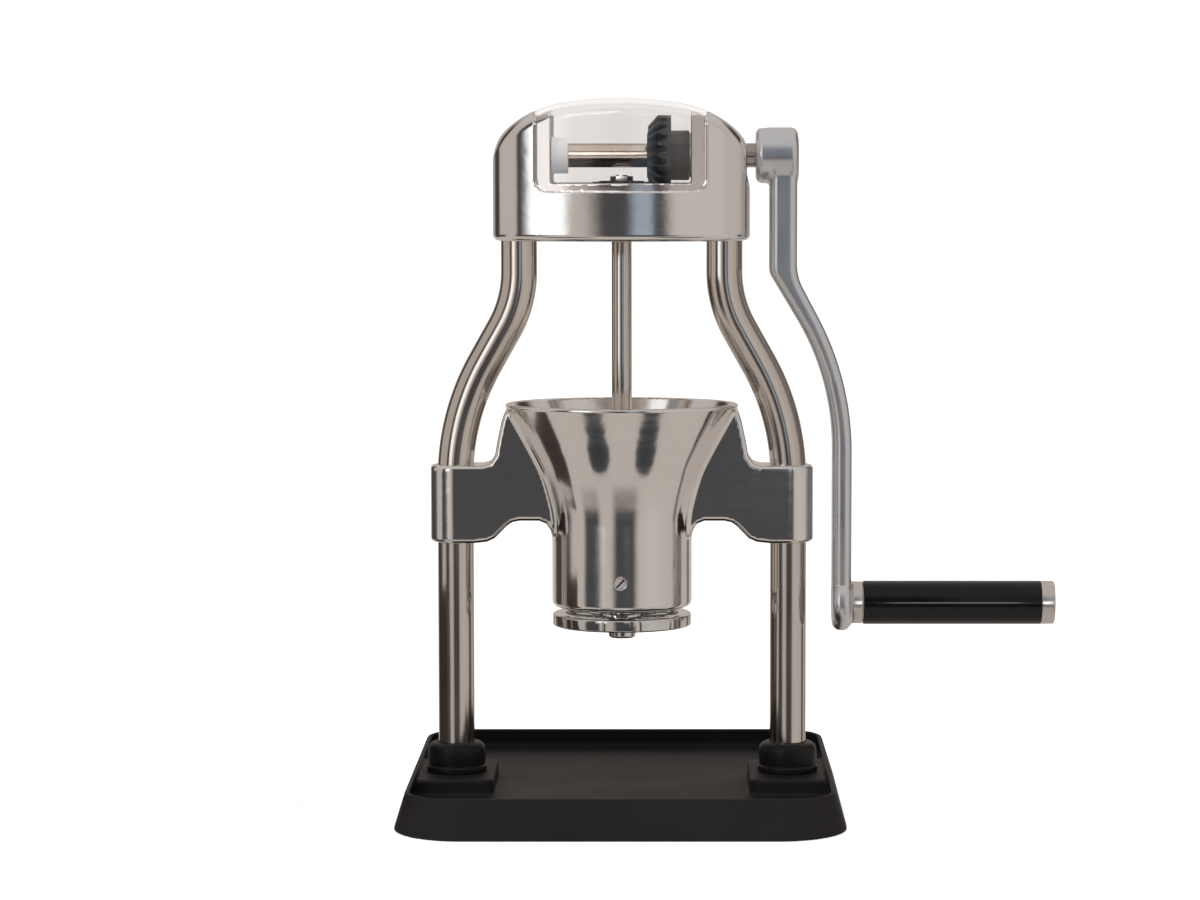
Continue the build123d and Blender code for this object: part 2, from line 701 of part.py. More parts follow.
def grip_clip():
    """Retaining ring at the end of the spindle."""
    return cross_rod(6.2, 204.0, 205.0, GRIP_Z) - cross_rod(3.2, 203.0, 206.0, GRIP_Z)


def grip_tube():
    """Hollow grip that turns on the spindle."""
    return cross_rod(GRIP_R, GRIP_START, GRIP_END, GRIP_Z) - cross_rod(
        GRIP_BORE_R, GRIP_START - 1, GRIP_END + 1, GRIP_Z
    )


def grip_bushes():
    """Two plain bushes between the spindle and the grip."""
    spans = [(GRIP_START, 134.0), (190.0, 203.5)]
    return [
        cross_rod(GRIP_BORE_R, low, high, GRIP_Z)
        - cross_rod(SPINDLE_R + RUNNING_GAP, low - 1, high + 1, GRIP_Z)
        for low, high in spans
    ]


def grip_cap():
    """Turned end cap, with a spigot in the grip."""
    cap = cross_rod(10.75, GRIP_END, CAP_END, GRIP_Z)
    cap = chamfer(cap.edges().filter_by(GeomType.CIRCLE).sort_by(Axis.X)[-1], 0.8)
    return cap + cross_rod(GRIP_BORE_R, SPINDLE_END + 0.5, GRIP_END + 1, GRIP_Z)


def rounded_outline(z, inset, corner):
    """Round-cornered rectangle of the base at one height."""
    width = 2 * (BASE_HALF_WIDTH - inset)
    depth = BASE_BACK - BASE_FRONT - 2 * inset
    return Pos(0, (BASE_BACK + BASE_FRONT) / 2, z) * RectangleRounded(width, depth, corner)


def base_tray():
    """Moulded tray: sloping sides, raised rim, two platforms and a recess for the plate."""
    low = rounded_outline(1.0, 0.0, BASE_CORNER_R)
    high = rounded_outline(RIM_Z, BASE_FLARE, BASE_RIM_CORNER_R)
    tray = loft([low, high])
    mouth = rounded_outline(RIM_Z + 0.01, BASE_FLARE + RIM_WIDTH, BASE_RIM_CORNER_R - RIM_WIDTH)
    foot = rounded_outline(TRAY_FLOOR, BASE_FLARE + RIM_WIDTH + 3.0, BASE_RIM_CORNER_R - 4.0)
    well = loft([foot, mouth])
    for side in (-1, 1):
        middle = Pos(side * (PLATFORM_X + 30), (PLATFORM_FRONT + PLATFORM_BACK) / 2, TRAY_FLOOR - 1)
        depth = PLATFORM_BACK - PLATFORM_FRONT
        platform = extrude(middle * RectangleRounded(60, depth, 6.0), amount=PLATFORM_Z - TRAY_FLOOR + 1)
        well -= platform
    tray -= well
    tray -= extrude(rounded_outline(0.0, 4.5, BASE_CORNER_R - 4.5), amount=TRAY_UNDERSIDE)
    for side in (-1, 1):
        tray -= rod(COLUMN_D / 2, 0, RIM_Z + 1, x=side * LOWER_X)
    return tray


def base_plate():
    """Steel plate that fills the recess and ties the two columns together."""
    outline = rounded_outline(PLATE_BOTTOM, 5.0, BASE_CORNER_R - 5.0)
    plate = extrude(outline, amount=TRAY_UNDERSIDE - PLATE_BOTTOM)
    for side in (-1, 1):
        plate -= base_screw_shape(side * LOWER_X, 0.0)
    return plate


def base_screw_shape(x, recess):
    """Countersunk screw standing on its head, or the hole for it when the recess is zero."""
    screw = rod(BOLT_D / 2, PLATE_BOTTOM, 24.0, x=x)
    screw += Pos(x, 0, PLATE_BOTTOM + 2.0) * Cone(8.0, BOLT_D / 2, 4.0)
    if recess:
        screw -= rod(recess, PLATE_BOTTOM - 1, PLATE_BOTTOM + 2.5, x=x)
    return screw


def base_bolts():
    """Countersunk screws through the plate into the column plugs."""
    return [base_screw_shape(side * LOWER_X, 2.8) for side in (-1, 1)]


def column_plugs():
    """Threaded plugs in the lower ends of the columns."""
    plugs = []
    for side in (-1, 1):
        plug = rod(COLUMN_BORE / 2, TRAY_UNDERSIDE, 30.0, x=side * LOWER_X)
        plugs.append(plug - rod(BOLT_D / 2, TRAY_UNDERSIDE - 1, 24.0, x=side * LOWER_X))
    return plugs


def foot_pad():
    """Non-slip pad under the plate, with holes over the screws."""
    pad = extrude(rounded_outline(0.0, 6.0, BASE_CORNER_R - 6.0), amount=PLATE_BOTTOM)
    for side in (-1, 1):
        pad -= rod(9.0, -1.0, PLATE_BOTTOM + 1, x=side * LOWER_X)
    return pad


def boot(side):
    """Rubber boot round the foot of a column, with a rounded shoulder."""
    sleeve = rod(BOOT_R, PLATFORM_Z, BOOT_TOP, x=side * LOWER_X)
    sleeve = fillet(sleeve.edges().filter_by(GeomType.CIRCLE).sort_by(Axis.Z)[-1], 4.0)
    return sleeve - rod(COLUMN_D / 2, PLATFORM_Z - 1, BOOT_TOP + 1, x=side * LOWER_X)


def mounted_pieces():
    """Every node of the grinder: name and shape."""
    return {
        "head_casting": head_casting(),
        "gear_cover": gear_cover(),
        "cover_screws": cover_screws(),
        "head_grub_screws": head_grub_screws(),
        "crank_bearing_left": crank_bearing(-54.0, -26.5),
        "crank_bearing_right": crank_bearing(CHEEK_X, 61.0),
        "crank_shaft": crank_shaft(),
        "crank_gear": crank_gear(),
        "crank_gear_pin": crank_gear_pin(),
        "crank_washer": crank_washer(),
        "shaft_gear": shaft_gear(),
        "shaft_gear_pin": shaft_gear_pin(),
        "shaft_nut": shaft_nut(),
        "drive_shaft": drive_shaft(),
        "drive_key": drive_key(),
        "head_bush": head_bush(),
        "column_left": column(-1),
        "column_right": column(1),
        "centre_casting": centre_casting(),
        "clamp_screws": clamp_screws(),
        "burr_lock_screw": burr_lock_screw(),
        "bearing_spider": bearing_spider(),
        "spider_bush": spider_bush(),
        "burr_spring": burr_spring(),
        "spring_washer": spring_washer(),
        "shaft_clip": shaft_clip(),
        "inner_burr": inner_burr(),
        "outer_burr": outer_burr(),
        "adjuster_ring": adjuster_ring(),
        "adjuster_nut": adjuster_nut(),
        "crank_arm": crank_arm(),
        "hub_screw": hub_screw(),
        "grip_spindle": grip_spindle(),
        "grip_collar": grip_collar(),
        "grip_clip": grip_clip(),
        "grip_tube": grip_tube(),
        "grip_bushes": grip_bushes(),
        "grip_cap": grip_cap(),
        "boot_left": boot(-1),
        "boot_right": boot(1),
        "base_tray": base_tray(),
        "base_plate": base_plate(),
        "base_bolts": base_bolts(),
        "column_plugs": column_plugs(),
        "foot_pad": foot_pad(),
    }


for node, shape in mounted_pieces().items():
    solids = shape if isinstance(shape, list) else [shape]
    export_step(Compound(children=[s for one in solids for s in one.solids()]), f"parts/{node}.step")
    print(node, round(sum(s.volume for s in solids)))
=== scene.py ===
import math

import bmesh
import bpy
import numpy as np
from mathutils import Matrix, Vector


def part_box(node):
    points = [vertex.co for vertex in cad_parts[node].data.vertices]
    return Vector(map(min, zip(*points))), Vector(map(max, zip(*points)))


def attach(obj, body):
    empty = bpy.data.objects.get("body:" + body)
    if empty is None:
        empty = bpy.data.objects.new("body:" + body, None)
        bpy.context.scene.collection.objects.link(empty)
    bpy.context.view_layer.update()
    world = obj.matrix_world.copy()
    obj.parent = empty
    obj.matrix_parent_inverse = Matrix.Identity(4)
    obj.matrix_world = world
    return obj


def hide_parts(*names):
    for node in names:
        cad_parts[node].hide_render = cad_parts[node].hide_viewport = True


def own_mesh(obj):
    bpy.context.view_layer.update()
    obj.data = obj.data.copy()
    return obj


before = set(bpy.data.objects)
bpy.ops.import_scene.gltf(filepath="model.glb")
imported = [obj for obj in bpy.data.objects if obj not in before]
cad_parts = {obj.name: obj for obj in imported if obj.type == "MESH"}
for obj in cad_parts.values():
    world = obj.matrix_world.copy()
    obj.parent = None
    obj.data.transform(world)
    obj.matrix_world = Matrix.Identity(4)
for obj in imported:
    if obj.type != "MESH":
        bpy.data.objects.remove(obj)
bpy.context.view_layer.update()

# ---- Studio -----------------------------------------------------------------------------------
# A white sweep under and behind the grinder, a light tent round it, two soft lights, and the
# camera above the hopper, looking slightly down. Dark strips in the tent give the metal its bands.

camera_data = bpy.data.cameras.new("camera")
camera_data.lens = 111.0
camera_data.sensor_width = 36.0
camera_data.shift_x = -0.0575
camera_data.clip_end = 30.0
camera = bpy.data.objects.new("camera", camera_data)
camera.location = (0.0235, -1.8395, 0.3281)
camera.rotation_euler = (math.radians(90.0 - 4.635), 0.0, 0.0)
bpy.context.scene.collection.objects.link(camera)
bpy.context.scene.camera = camera
bpy.context.scene.view_settings.view_transform = "Standard"


def new_material(name):
    """Empty node material with its shader and its output."""
    made = bpy.data.materials.new(name)
    made.use_nodes = True
    return made, made.node_tree.nodes, made.node_tree.links, made.node_tree.nodes["Principled BSDF"]


sweep_material, nodes, links, shader = new_material("white_sweep")
shader.inputs["Base Color"].default_value = (0.7, 0.7, 0.7, 1.0)
shader.inputs["Roughness"].default_value = 0.9
shader.inputs["Specular IOR Level"].default_value = 0.2
shader.inputs["Emission Color"].default_value = (1.0, 1.0, 1.0, 1.0)
shader.inputs["Emission Strength"].default_value = 0.6

sweep_mesh = bpy.data.meshes.new("sweep")
half_width, front, back, bend, wall = 6.0, -5.0, 2.2, 1.2, 5.0
profile = [(front, 0.0)]
for step in range(13):
    a = math.pi / 2 * step / 12
    profile.append((back + bend * math.sin(a), bend * (1 - math.cos(a))))
profile.append((back + bend, wall))
points = [(x, y, z) for y, z in profile for x in (-half_width, half_width)]
quads = [(2 * i, 2 * i + 1, 2 * i + 3, 2 * i + 2) for i in range(len(profile) - 1)]
sweep_mesh.from_pydata(points, [], quads)
sweep_mesh.polygons.foreach_set("use_smooth", [True] * len(quads))
sweep_mesh.materials.append(sweep_material)
sweep = bpy.data.objects.new("sweep", sweep_mesh)
bpy.context.scene.collection.objects.link(sweep)
sweep.visible_glossy = False

card_material, nodes, links, shader = new_material("dark_card")
shader.inputs["Base Color"].default_value = (0.05, 0.035, 0.03, 1.0)
shader.inputs["Roughness"].default_value = 0.8
card_mesh = bpy.data.meshes.new("left_card")
card_mesh.from_pydata(
    [(-0.16, -0.06, 0.0), (-0.16, 0.06, 0.0), (-0.18, 0.06, 0.10), (-0.18, -0.06, 0.10)], [], [(0, 1, 2, 3)]
)
card_mesh.materials.append(card_material)
left_card = bpy.data.objects.new("left_card", card_mesh)
bpy.context.scene.collection.objects.link(left_card)
left_card.visible_camera = False
left_card.visible_shadow = False

tent = bpy.data.worlds.new("light_tent")
bpy.context.scene.world = tent
tent.use_nodes = True
nodes, links = tent.node_tree.nodes, tent.node_tree.links
nodes.clear()
way = nodes.new("ShaderNodeTexCoord")
parts = nodes.new("ShaderNodeSeparateXYZ")
links.new(way.outputs["Generated"], parts.inputs[0])
bearing = nodes.new("ShaderNodeMath")
bearing.operation = "ARCTAN2"
forward = nodes.new("ShaderNodeMath")
forward.operation = "MULTIPLY"
forward.inputs[1].default_value = -1.0
links.new(parts.outputs["Y"], forward.inputs[0])
links.new(parts.outputs["X"], bearing.inputs[0])
links.new(forward.outputs[0], bearing.inputs[1])
spread = nodes.new("ShaderNodeMapRange")
spread.inputs["From Min"].default_value = -math.pi
spread.inputs["From Max"].default_value = math.pi
links.new(bearing.outputs[0], spread.inputs["Value"])
beige = (0.50, 0.455, 0.42, 1.0)
pale = (0.56, 0.52, 0.49, 1.0)
white = (1.35, 1.35, 1.36, 1.0)
slate = (0.064, 0.062, 0.064, 1.0)
haze = (0.36, 0.42, 0.49, 1.0)
brown = (0.06, 0.048, 0.042, 1.0)


def compass(stops):
    """Colour strips round the tent, in degrees from the camera's side, positive to the right."""
    strips = nodes.new("ShaderNodeValToRGB")
    links.new(spread.outputs[0], strips.inputs["Fac"])
    ramp = strips.color_ramp
    while len(ramp.elements) < len(stops):
        ramp.elements.new(0.5)
    for stop, (degrees, colour) in zip(ramp.elements, stops):
        stop.position = (degrees + 180) / 360
        stop.color = colour
    return strips.outputs["Color"]


def blended(factor, first, second):
    """Mixes two colours, each a socket or a plain value."""
    mix = nodes.new("ShaderNodeMix")
    mix.data_type = "RGBA"
    links.new(factor, mix.inputs["Factor"])
    for side, colour in (("A", first), ("B", second)):
        if isinstance(colour, tuple):
            mix.inputs[side].default_value = colour
        else:
            links.new(colour, mix.inputs[side])
    return mix.outputs["Result"]


def rise_between(low, high):
    """Goes smoothly from 0 to 1 between two heights of the direction."""
    step = nodes.new("ShaderNodeMapRange")
    step.interpolation_type = "SMOOTHSTEP"
    step.inputs["From Min"].default_value = low
    step.inputs["From Max"].default_value = high
    links.new(parts.outputs["Z"], step.inputs["Value"])
    return step.outputs[0]


eye_level = compass([
    (-180, beige), (-152, beige), (-136, brown), (-120, brown), (-112, beige), (-62, beige),
    (-55, slate), (-45, slate), (-42, white), (-28, white), (-23, beige), (-17, beige),
    (-9, slate), (2, slate), (6, haze), (13, haze), (15, slate), (18, slate), (23, pale),
    (45, pale), (60, beige), (104, beige), (118, brown), (136, brown), (152, beige), (180, beige),
])
below_eye = compass([
    (-180, pale), (-150, pale), (-136, brown), (-112, brown), (-98, slate), (-88, beige),
    (-66, beige), (-60, slate), (-40, slate), (-32, beige), (-17, beige), (-8, slate),
    (19, slate), (28, beige), (50, pale), (92, beige), (100, brown), (108, brown), (118, beige),
    (134, beige), (142, brown), (152, pale), (180, pale),
])
walls = blended(rise_between(-0.085, -0.055), below_eye, eye_level)
roofed = blended(rise_between(0.42, 0.70), walls, (0.55, 0.52, 0.50, 1.0))
grounded = blended(rise_between(-0.40, -0.24), (0.50, 0.455, 0.42, 1.0), roofed)


def worked(operation, first, second=0.0):
    """One step of arithmetic on a socket."""
    step = nodes.new("ShaderNodeMath")
    step.operation = operation
    links.new(first, step.inputs[0])
    if isinstance(second, float):
        step.inputs[1].default_value = second
    else:
        links.new(second, step.inputs[1])
    return step.outputs[0]


# two dark feet of a stand on the floor in front, which the hopper's flare mirrors
foot_middle, foot_apart, foot_drop = 0.01, 0.49, 0.57
narrowness, shortness = 4.4, 9.5
sideways = worked("ABSOLUTE", worked("ADD", bearing.outputs[0], -foot_middle))
across = worked("POWER", worked("MULTIPLY", worked("SUBTRACT", sideways, foot_apart), narrowness), 2.0)
down = worked("POWER", worked("MULTIPLY", worked("ADD", parts.outputs["Z"], foot_drop), shortness), 2.0)
feet = worked("LESS_THAN", worked("ADD", across, down), 1.0)
footed = blended(feet, grounded, (0.035, 0.04, 0.045, 1.0))
sight = nodes.new("ShaderNodeLightPath")
seen = blended(sight.outputs["Is Camera Ray"], footed, (1.0, 1.0, 1.0, 1.0))
glow = nodes.new("ShaderNodeBackground")
glow.inputs["Strength"].default_value = 1.0
links.new(seen, glow.inputs["Color"])
out = nodes.new("ShaderNodeOutputWorld")
links.new(glow.outputs[0], out.inputs["Surface"])


def softbox(name, place, aim, width, tall, power, colour=(1.0, 1.0, 1.0)):
    """Rectangular soft light that faces a point."""
    light = bpy.data.lights.new(name, "AREA")
    light.shape = "RECTANGLE"
    light.size = width
    light.size_y = tall
    light.energy = power
    light.color = colour
    lamp = bpy.data.objects.new(name, light)
    lamp.location = place
    direction = Vector(aim) - Vector(place)
    lamp.rotation_euler = direction.to_track_quat("-Z", "Y").to_euler()
    bpy.context.scene.collection.objects.link(lamp)
    return lamp


top_box = softbox("top_box", (0.0, -0.2, 2.2), (0.0, 0.0, 0.2), 2.4, 2.0, 16.5)
top_box.visible_glossy = False
front_fill = softbox("front_fill", (-0.6, -2.2, 1.0), (0.0, 0.0, 0.2), 1.2, 1.0, 16.0)
front_fill.visible_glossy = False

# ---- Head casting -----------------------------------------------------------------------------
# Cast aluminium cradle: a floor that takes the two columns, two cheeks that carry the crank
# shaft, and a rebate for the clear cover. The outside is ground smooth and polished.


def round_max(a, b, r):
    """What two distance fields share, with the edge between them rounded."""
    return np.minimum(np.maximum(a, b), -r) + np.hypot(np.maximum(a + r, 0), np.maximum(b + r, 0))


def round_min(a, b, r):
    """Two distance fields joined, with a fillet between them."""
    return -round_max(-a, -b, r)


def arcs(u, v, chain):
    """Distance from a convex outline of tangent arcs, and how squarely its normal faces v."""
    centre_u, centre_v, radius, turn = chain[-1]
    distance, facing = u - centre_u - radius, np.zeros_like(u + v)
    for centre_u, centre_v, radius, turn in reversed(chain):
        near = (np.arctan2(u - centre_u, v - centre_v) < turn) & (v > centre_v)
        reach = np.hypot(u - centre_u, v - centre_v)
        distance = np.where(near, reach - radius, distance)
        facing = np.where(near, (v - centre_v) / np.maximum(reach, 1e-9), facing)
    return distance, facing


def skin(name, field, low, high, cell):
    """Closed mesh of the surface where a distance field is zero, with the field's own normals."""
    low, cell = np.array(low, float), np.array(cell, float) * np.ones(3)
    count = np.ceil((np.array(high, float) - low) / cell).astype(int) + 1
    x, y, z = (low[k] + cell[k] * np.arange(count[k]) for k in range(3))
    value = field(x[:, None, None], y[None, :, None], z[None, None, :])
    inside = value < 0
    corners = [(i, j, k) for i in (0, 1) for j in (0, 1) for k in (0, 1)]

    def shifted(grid, corner):
        return grid[tuple(slice(c, n - 1 + c) for c, n in zip(corner, grid.shape))]

    filled = sum(shifted(inside, c).astype(np.int8) for c in corners)
    index = np.argwhere((filled > 0) & (filled < 8))
    at = tuple(index.T)
    total, hits = np.zeros((len(index), 3)), np.zeros(len(index))
    for a in corners:
        for axis in range(3):
            if a[axis]:
                continue
            b = tuple(1 if k == axis else a[k] for k in range(3))
            fa, fb = shifted(value, a)[at], shifted(value, b)[at]
            cross = (fa < 0) != (fb < 0)
            point = np.tile(np.array(a, float), (len(index), 1))
            point[:, axis] = np.where(cross, fa / np.where(cross, fa - fb, 1), 0)
            total += point * cross[:, None]
            hits += cross
    points = low + cell * (index + total / hits[:, None])

    def slope(p):
        step = 2e-5
        rises = []
        for axis in range(3):
            shift = np.zeros(3)
            shift[axis] = step
            ahead, behind = p + shift, p - shift
            rises.append((field(*ahead.T) - field(*behind.T)) / (2 * step))
        return np.stack(rises, 1)

    for turn in range(3):
        rise = slope(points)
        move = field(*points.T)[:, None] * rise / np.maximum((rise**2).sum(1), 0.05)[:, None]
        points -= np.clip(move, -cell / 2, cell / 2)
    number = np.full(filled.shape, -1, np.int64)
    number[at] = np.arange(len(index))
    quads = []
    for axis in range(3):
        u, v = [k for k in range(3) if k != axis]
        here = [slice(1, n - 1) for n in inside.shape]
        there = list(here)
        here[axis], there[axis] = slice(0, -1), slice(1, None)
        first, second = inside[tuple(here)], inside[tuple(there)]
        for leaving in (True, False):
            edge = np.argwhere((first != second) & (first == leaving))
            edge[:, u] += 1
            edge[:, v] += 1
            ring = []
            for du, dv in ((0, 0), (-1, 0), (-1, -1), (0, -1)):
                spot = edge.copy()
                spot[:, u] += du
                spot[:, v] += dv
                ring.append(number[tuple(spot.T)])
            if leaving != (axis == 1):
                ring.reverse()
            quads.append(np.stack(ring, 1))
    quads = np.concatenate(quads)
    mesh = bpy.data.meshes.new(name)
    mesh.from_pydata(points.tolist(), [], quads[:, ::-1].tolist())
    mesh.polygons.foreach_set("use_smooth", [True] * len(quads))
    normals = slope(points)
    normals /= np.maximum(np.linalg.norm(normals, axis=1), 1e-9)[:, None]
    mesh.normals_split_custom_set_from_vertices(normals.tolist())
    return place(mesh, name)


def place(mesh, name):
    """Object for a finished mesh, at the origin."""
    made = bpy.data.objects.new(name, mesh)
    bpy.context.scene.collection.objects.link(made)
    return made


def finish_piece(piece, body, slot, material, *stands_for):
    """Material, body and replaced nodes of one piece; the slot is not used."""
    piece.data.materials.clear()
    piece.data.materials.append(material)
    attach(piece, body)
    if stands_for:
        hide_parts(*stands_for)
    return piece


fine = 1.0
head_low, head_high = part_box("head_casting")
cover_low, cover_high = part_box("gear_cover")
crank_z = (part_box("crank_bearing_left")[0].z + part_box("crank_bearing_left")[1].z) / 2
head_half, head_depth = head_high.x, head_high.y
crown_r, shoulder_r, corner_r, crown_turn = 0.190, 0.055, 0.020, math.radians(8.6)
crown_centre = (0.0, cover_high.z - crown_r)
shoulder_centre = (
    (crown_r - shoulder_r) * math.sin(crown_turn),
    crown_centre[1] + (crown_r - shoulder_r) * math.cos(crown_turn),
)
sine = (head_half - corner_r - shoulder_centre[0]) / (shoulder_r - corner_r)
shoulder_turn = math.asin(sine)
corner_centre = (
    head_half - corner_r,
    shoulder_centre[1] + (shoulder_r - corner_r) * math.cos(shoulder_turn),
)
crown_chain = [
    (*crown_centre, crown_r, crown_turn),
    (*shoulder_centre, shoulder_r, shoulder_turn),
    (*corner_centre, corner_r, math.pi / 2),
]
bow_r, plan_r = 0.130, 0.024
plan_x = head_half - plan_r
plan_y = math.sqrt((bow_r - plan_r) ** 2 - plan_x**2) - bow_r + head_depth
plan_chain = [
    (0.0, head_depth - bow_r, bow_r, math.asin(plan_x / (bow_r - plan_r))),
    (plan_x, plan_y, plan_r, math.pi / 2),
]
cheek_x, ledge_z, floor_z, wall = 0.0345, 0.3118, 0.290, 0.005
window_half, window_low, window_corner = cover_high.x + 0.0001, cover_low.z, 0.006
cover_wall = 0.0025


def head_envelope(x, y, z):
    """The head as one block, with its round crown and bowed front and back."""
    crown, facing = arcs(np.abs(x), z + 0 * x, crown_chain)
    plan = arcs(np.abs(x), np.abs(y), plan_chain)[0]
    return round_max(crown, plan, 0.0075 * facing + 1e-5)


def window(x, z, half, low):
    """Opening for the cover seen from the front, with round lower corners."""
    across = np.abs(x) - half + window_corner
    down = low + window_corner - z
    outside = np.hypot(np.maximum(across, 0), np.maximum(down, 0))
    return outside + np.minimum(np.maximum(across, down), 0) - window_corner


crank_bore_r, spot_face_r, spot_face_x = 0.009, 0.017, 0.062


def head_shape(x, y, z):
    """The cradle: the block with its rebate, chamber and bores cut out."""
    block = head_envelope(x, y, z)
    solid = round_max(block, head_low.z - z, 0.003)
    rebate = np.maximum(window(x, z, window_half, window_low), -block - cover_wall - 0.0001)
    between = np.abs(x) - cheek_x
    opening = np.maximum(between, ledge_z - z)
    chamber = np.maximum(round_max(between, floor_z - z, 0.003), block + wall)
    from_axis = np.hypot(y, z - crank_z)
    bores = np.maximum(from_axis - crank_bore_r, 0.033 - np.abs(x))
    spot_face = np.maximum(from_axis - spot_face_r, spot_face_x - x)
    shaft_bore = np.hypot(x, y) - 0.008
    cut = np.minimum(np.minimum(rebate, opening), chamber)
    solid = round_max(solid, -cut, 0.0006)
    solid = round_max(solid, -spot_face, 0.0008)
    return round_max(solid, -np.minimum(bores, shaft_bore + 0 * z), 0.0003)


def metal(name, colour, rough, uneven, brush, grain, metallic=1.0, wave=0.0):
    """Metal with polishing lines, finer where brush is larger, on a slightly wavy hand-ground face."""
    made, nodes, links, shader = new_material(name)
    shader.inputs["Base Color"].default_value = (*colour, 1.0)
    shader.inputs["Metallic"].default_value = metallic
    where = nodes.new("ShaderNodeTexCoord")
    stretch = nodes.new("ShaderNodeMapping")
    stretch.inputs["Scale"].default_value = brush
    links.new(where.outputs["Object"], stretch.inputs["Vector"])
    lines = nodes.new("ShaderNodeTexNoise")
    lines.inputs["Scale"].default_value = 1.0
    lines.inputs["Detail"].default_value = 4.0
    links.new(stretch.outputs[0], lines.inputs["Vector"])
    clouds = nodes.new("ShaderNodeTexNoise")
    clouds.inputs["Scale"].default_value = 45.0
    clouds.inputs["Detail"].default_value = 3.0
    links.new(where.outputs["Object"], clouds.inputs["Vector"])
    mixed = nodes.new("ShaderNodeMath")
    mixed.operation = "ADD"
    links.new(lines.outputs["Fac"], mixed.inputs[0])
    links.new(clouds.outputs["Fac"], mixed.inputs[1])
    level = nodes.new("ShaderNodeMapRange")
    level.inputs["From Min"].default_value = 0.7
    level.inputs["From Max"].default_value = 1.3
    level.inputs["To Min"].default_value = max(rough - uneven, 0.02)
    level.inputs["To Max"].default_value = rough + uneven
    links.new(mixed.outputs[0], level.inputs["Value"])
    links.new(level.outputs[0], shader.inputs["Roughness"])
    bump = nodes.new("ShaderNodeBump")
    bump.inputs["Strength"].default_value = 0.15
    bump.inputs["Distance"].default_value = grain
    links.new(lines.outputs["Fac"], bump.inputs["Height"])
    if wave:
        swell = nodes.new("ShaderNodeBump")
        swell.inputs["Distance"].default_value = wave
        links.new(clouds.outputs["Fac"], swell.inputs["Height"])
        links.new(bump.outputs[0], swell.inputs["Normal"])
        bump = swell
    links.new(bump.outputs[0], shader.inputs["Normal"])
    return made


polished = metal(
    "polished_aluminium", (0.88, 0.86, 0.84), 0.11, 0.02, (40.0, 40.0, 700.0), 0.000005, wave=0.00014
)
margin = 0.003
head = skin(
    "head_shell",
    head_shape,
    (-head_half - margin, -head_depth - margin, head_low.z - margin),
    (head_half + margin, head_depth + margin, cover_high.z + margin),
    0.00088 * fine,
)
finish_piece(head, "frame", "polished_aluminium", polished, "head_casting")
# the chamber's inside is rough as cast, and its dark colour is painted shade for the shadow inside the head
chamber_shade_metal = metal("rough_cast_painted_shade", (0.16, 0.155, 0.15), 0.5, 0.1, (220.0, 220.0, 220.0), 0.0002, 0.7)
head.data.materials.append(chamber_shade_metal)
middles = np.zeros(3 * len(head.data.polygons))
head.data.polygons.foreach_get("center", middles)
across, deep, high = middles.reshape(-1, 3).T
# painted shade: the faces inside the chamber take the dark metal
shaded_chamber_faces = (head_envelope(across, deep, high) < 0.0005 - wall) & (np.abs(across) < cheek_x + 0.0002)
shaded_chamber_faces &= high > floor_z - 0.0005
head.data.polygons.foreach_set("material_index", shaded_chamber_faces.astype(np.int32))


# ---- Gear cover -------------------------------------------------------------------------------
# Clear moulded saddle in the head's rebate: front skirt, top and rear skirt in one bent piece.
# It is held by two small screws at the back, and shows the gears.


def cover_shape(x, y, z):
    """The saddle: a shell of the head's own outside, cut to the window."""
    block = head_envelope(x, y, z)
    shell = round_max(block, -block - cover_wall, 0.0003)
    opening = round_max(shell, window(x, z, cover_high.x, cover_low.z), 0.0003)
    from_screw = np.hypot(np.abs(x) - 0.0383, z - 0.316)
    screw_hole = np.maximum(from_screw - 0.0016, -y)
    screw_seat = np.maximum(from_screw - 0.0030, 0.031 - y)
    return round_max(opening, -np.minimum(screw_hole, screw_seat), 0.0002)


clear, nodes, links, shader = new_material("clear_polycarbonate")
shader.inputs["Base Color"].default_value = (0.865, 0.845, 0.835, 1.0)
shader.inputs["Transmission Weight"].default_value = 1.0
shader.inputs["IOR"].default_value = 1.01
shader.inputs["Coat Weight"].default_value = 1.0
shader.inputs["Coat IOR"].default_value = 1.55
shader.inputs["Coat Roughness"].default_value = 0.02
where = nodes.new("ShaderNodeTexCoord")
ripple = nodes.new("ShaderNodeTexNoise")
ripple.inputs["Scale"].default_value = 60.0
ripple.inputs["Detail"].default_value = 2.0
links.new(where.outputs["Object"], ripple.inputs["Vector"])
haze_level = nodes.new("ShaderNodeMapRange")
haze_level.inputs["To Min"].default_value = 0.01
haze_level.inputs["To Max"].default_value = 0.06
links.new(ripple.outputs["Fac"], haze_level.inputs["Value"])
links.new(haze_level.outputs[0], shader.inputs["Roughness"])
bump = nodes.new("ShaderNodeBump")
bump.inputs["Strength"].default_value = 0.08
bump.inputs["Distance"].default_value = 0.0004
links.new(ripple.outputs["Fac"], bump.inputs["Height"])
links.new(bump.outputs[0], shader.inputs["Normal"])
cover = skin(
    "cover_moulding",
    cover_shape,
    (-cover_high.x - margin, -head_depth - margin, cover_low.z - margin),
    (cover_high.x + margin, head_depth + margin, cover_high.z + margin),
    0.00085 * fine,
)
finish_piece(cover, "frame", "clear_cover", clear, "gear_cover")

# ---- Gears and head hardware ------------------------------------------------------------------
# Two equal bevel gears of blackened sintered steel, each pinned to its shaft, with the plain
# bearings, bushes, washers and screws round them. Edges are broken as on machined parts.


def settled(piece):
    """Works a piece's modifiers into a plain mesh and removes them."""
    bpy.context.view_layer.update()
    graph = bpy.context.evaluated_depsgraph_get()
    mesh = bpy.data.meshes.new_from_object(piece.evaluated_get(graph))
    piece.modifiers.clear()
    piece.data = mesh
    return piece


def smoothed(piece, degrees=32.0):
    """Smooth faces with crisp edges where two faces meet at more than an angle."""
    piece.data.shade_smooth()
    piece.data.set_sharp_from_angle(angle=math.radians(degrees))
    return piece


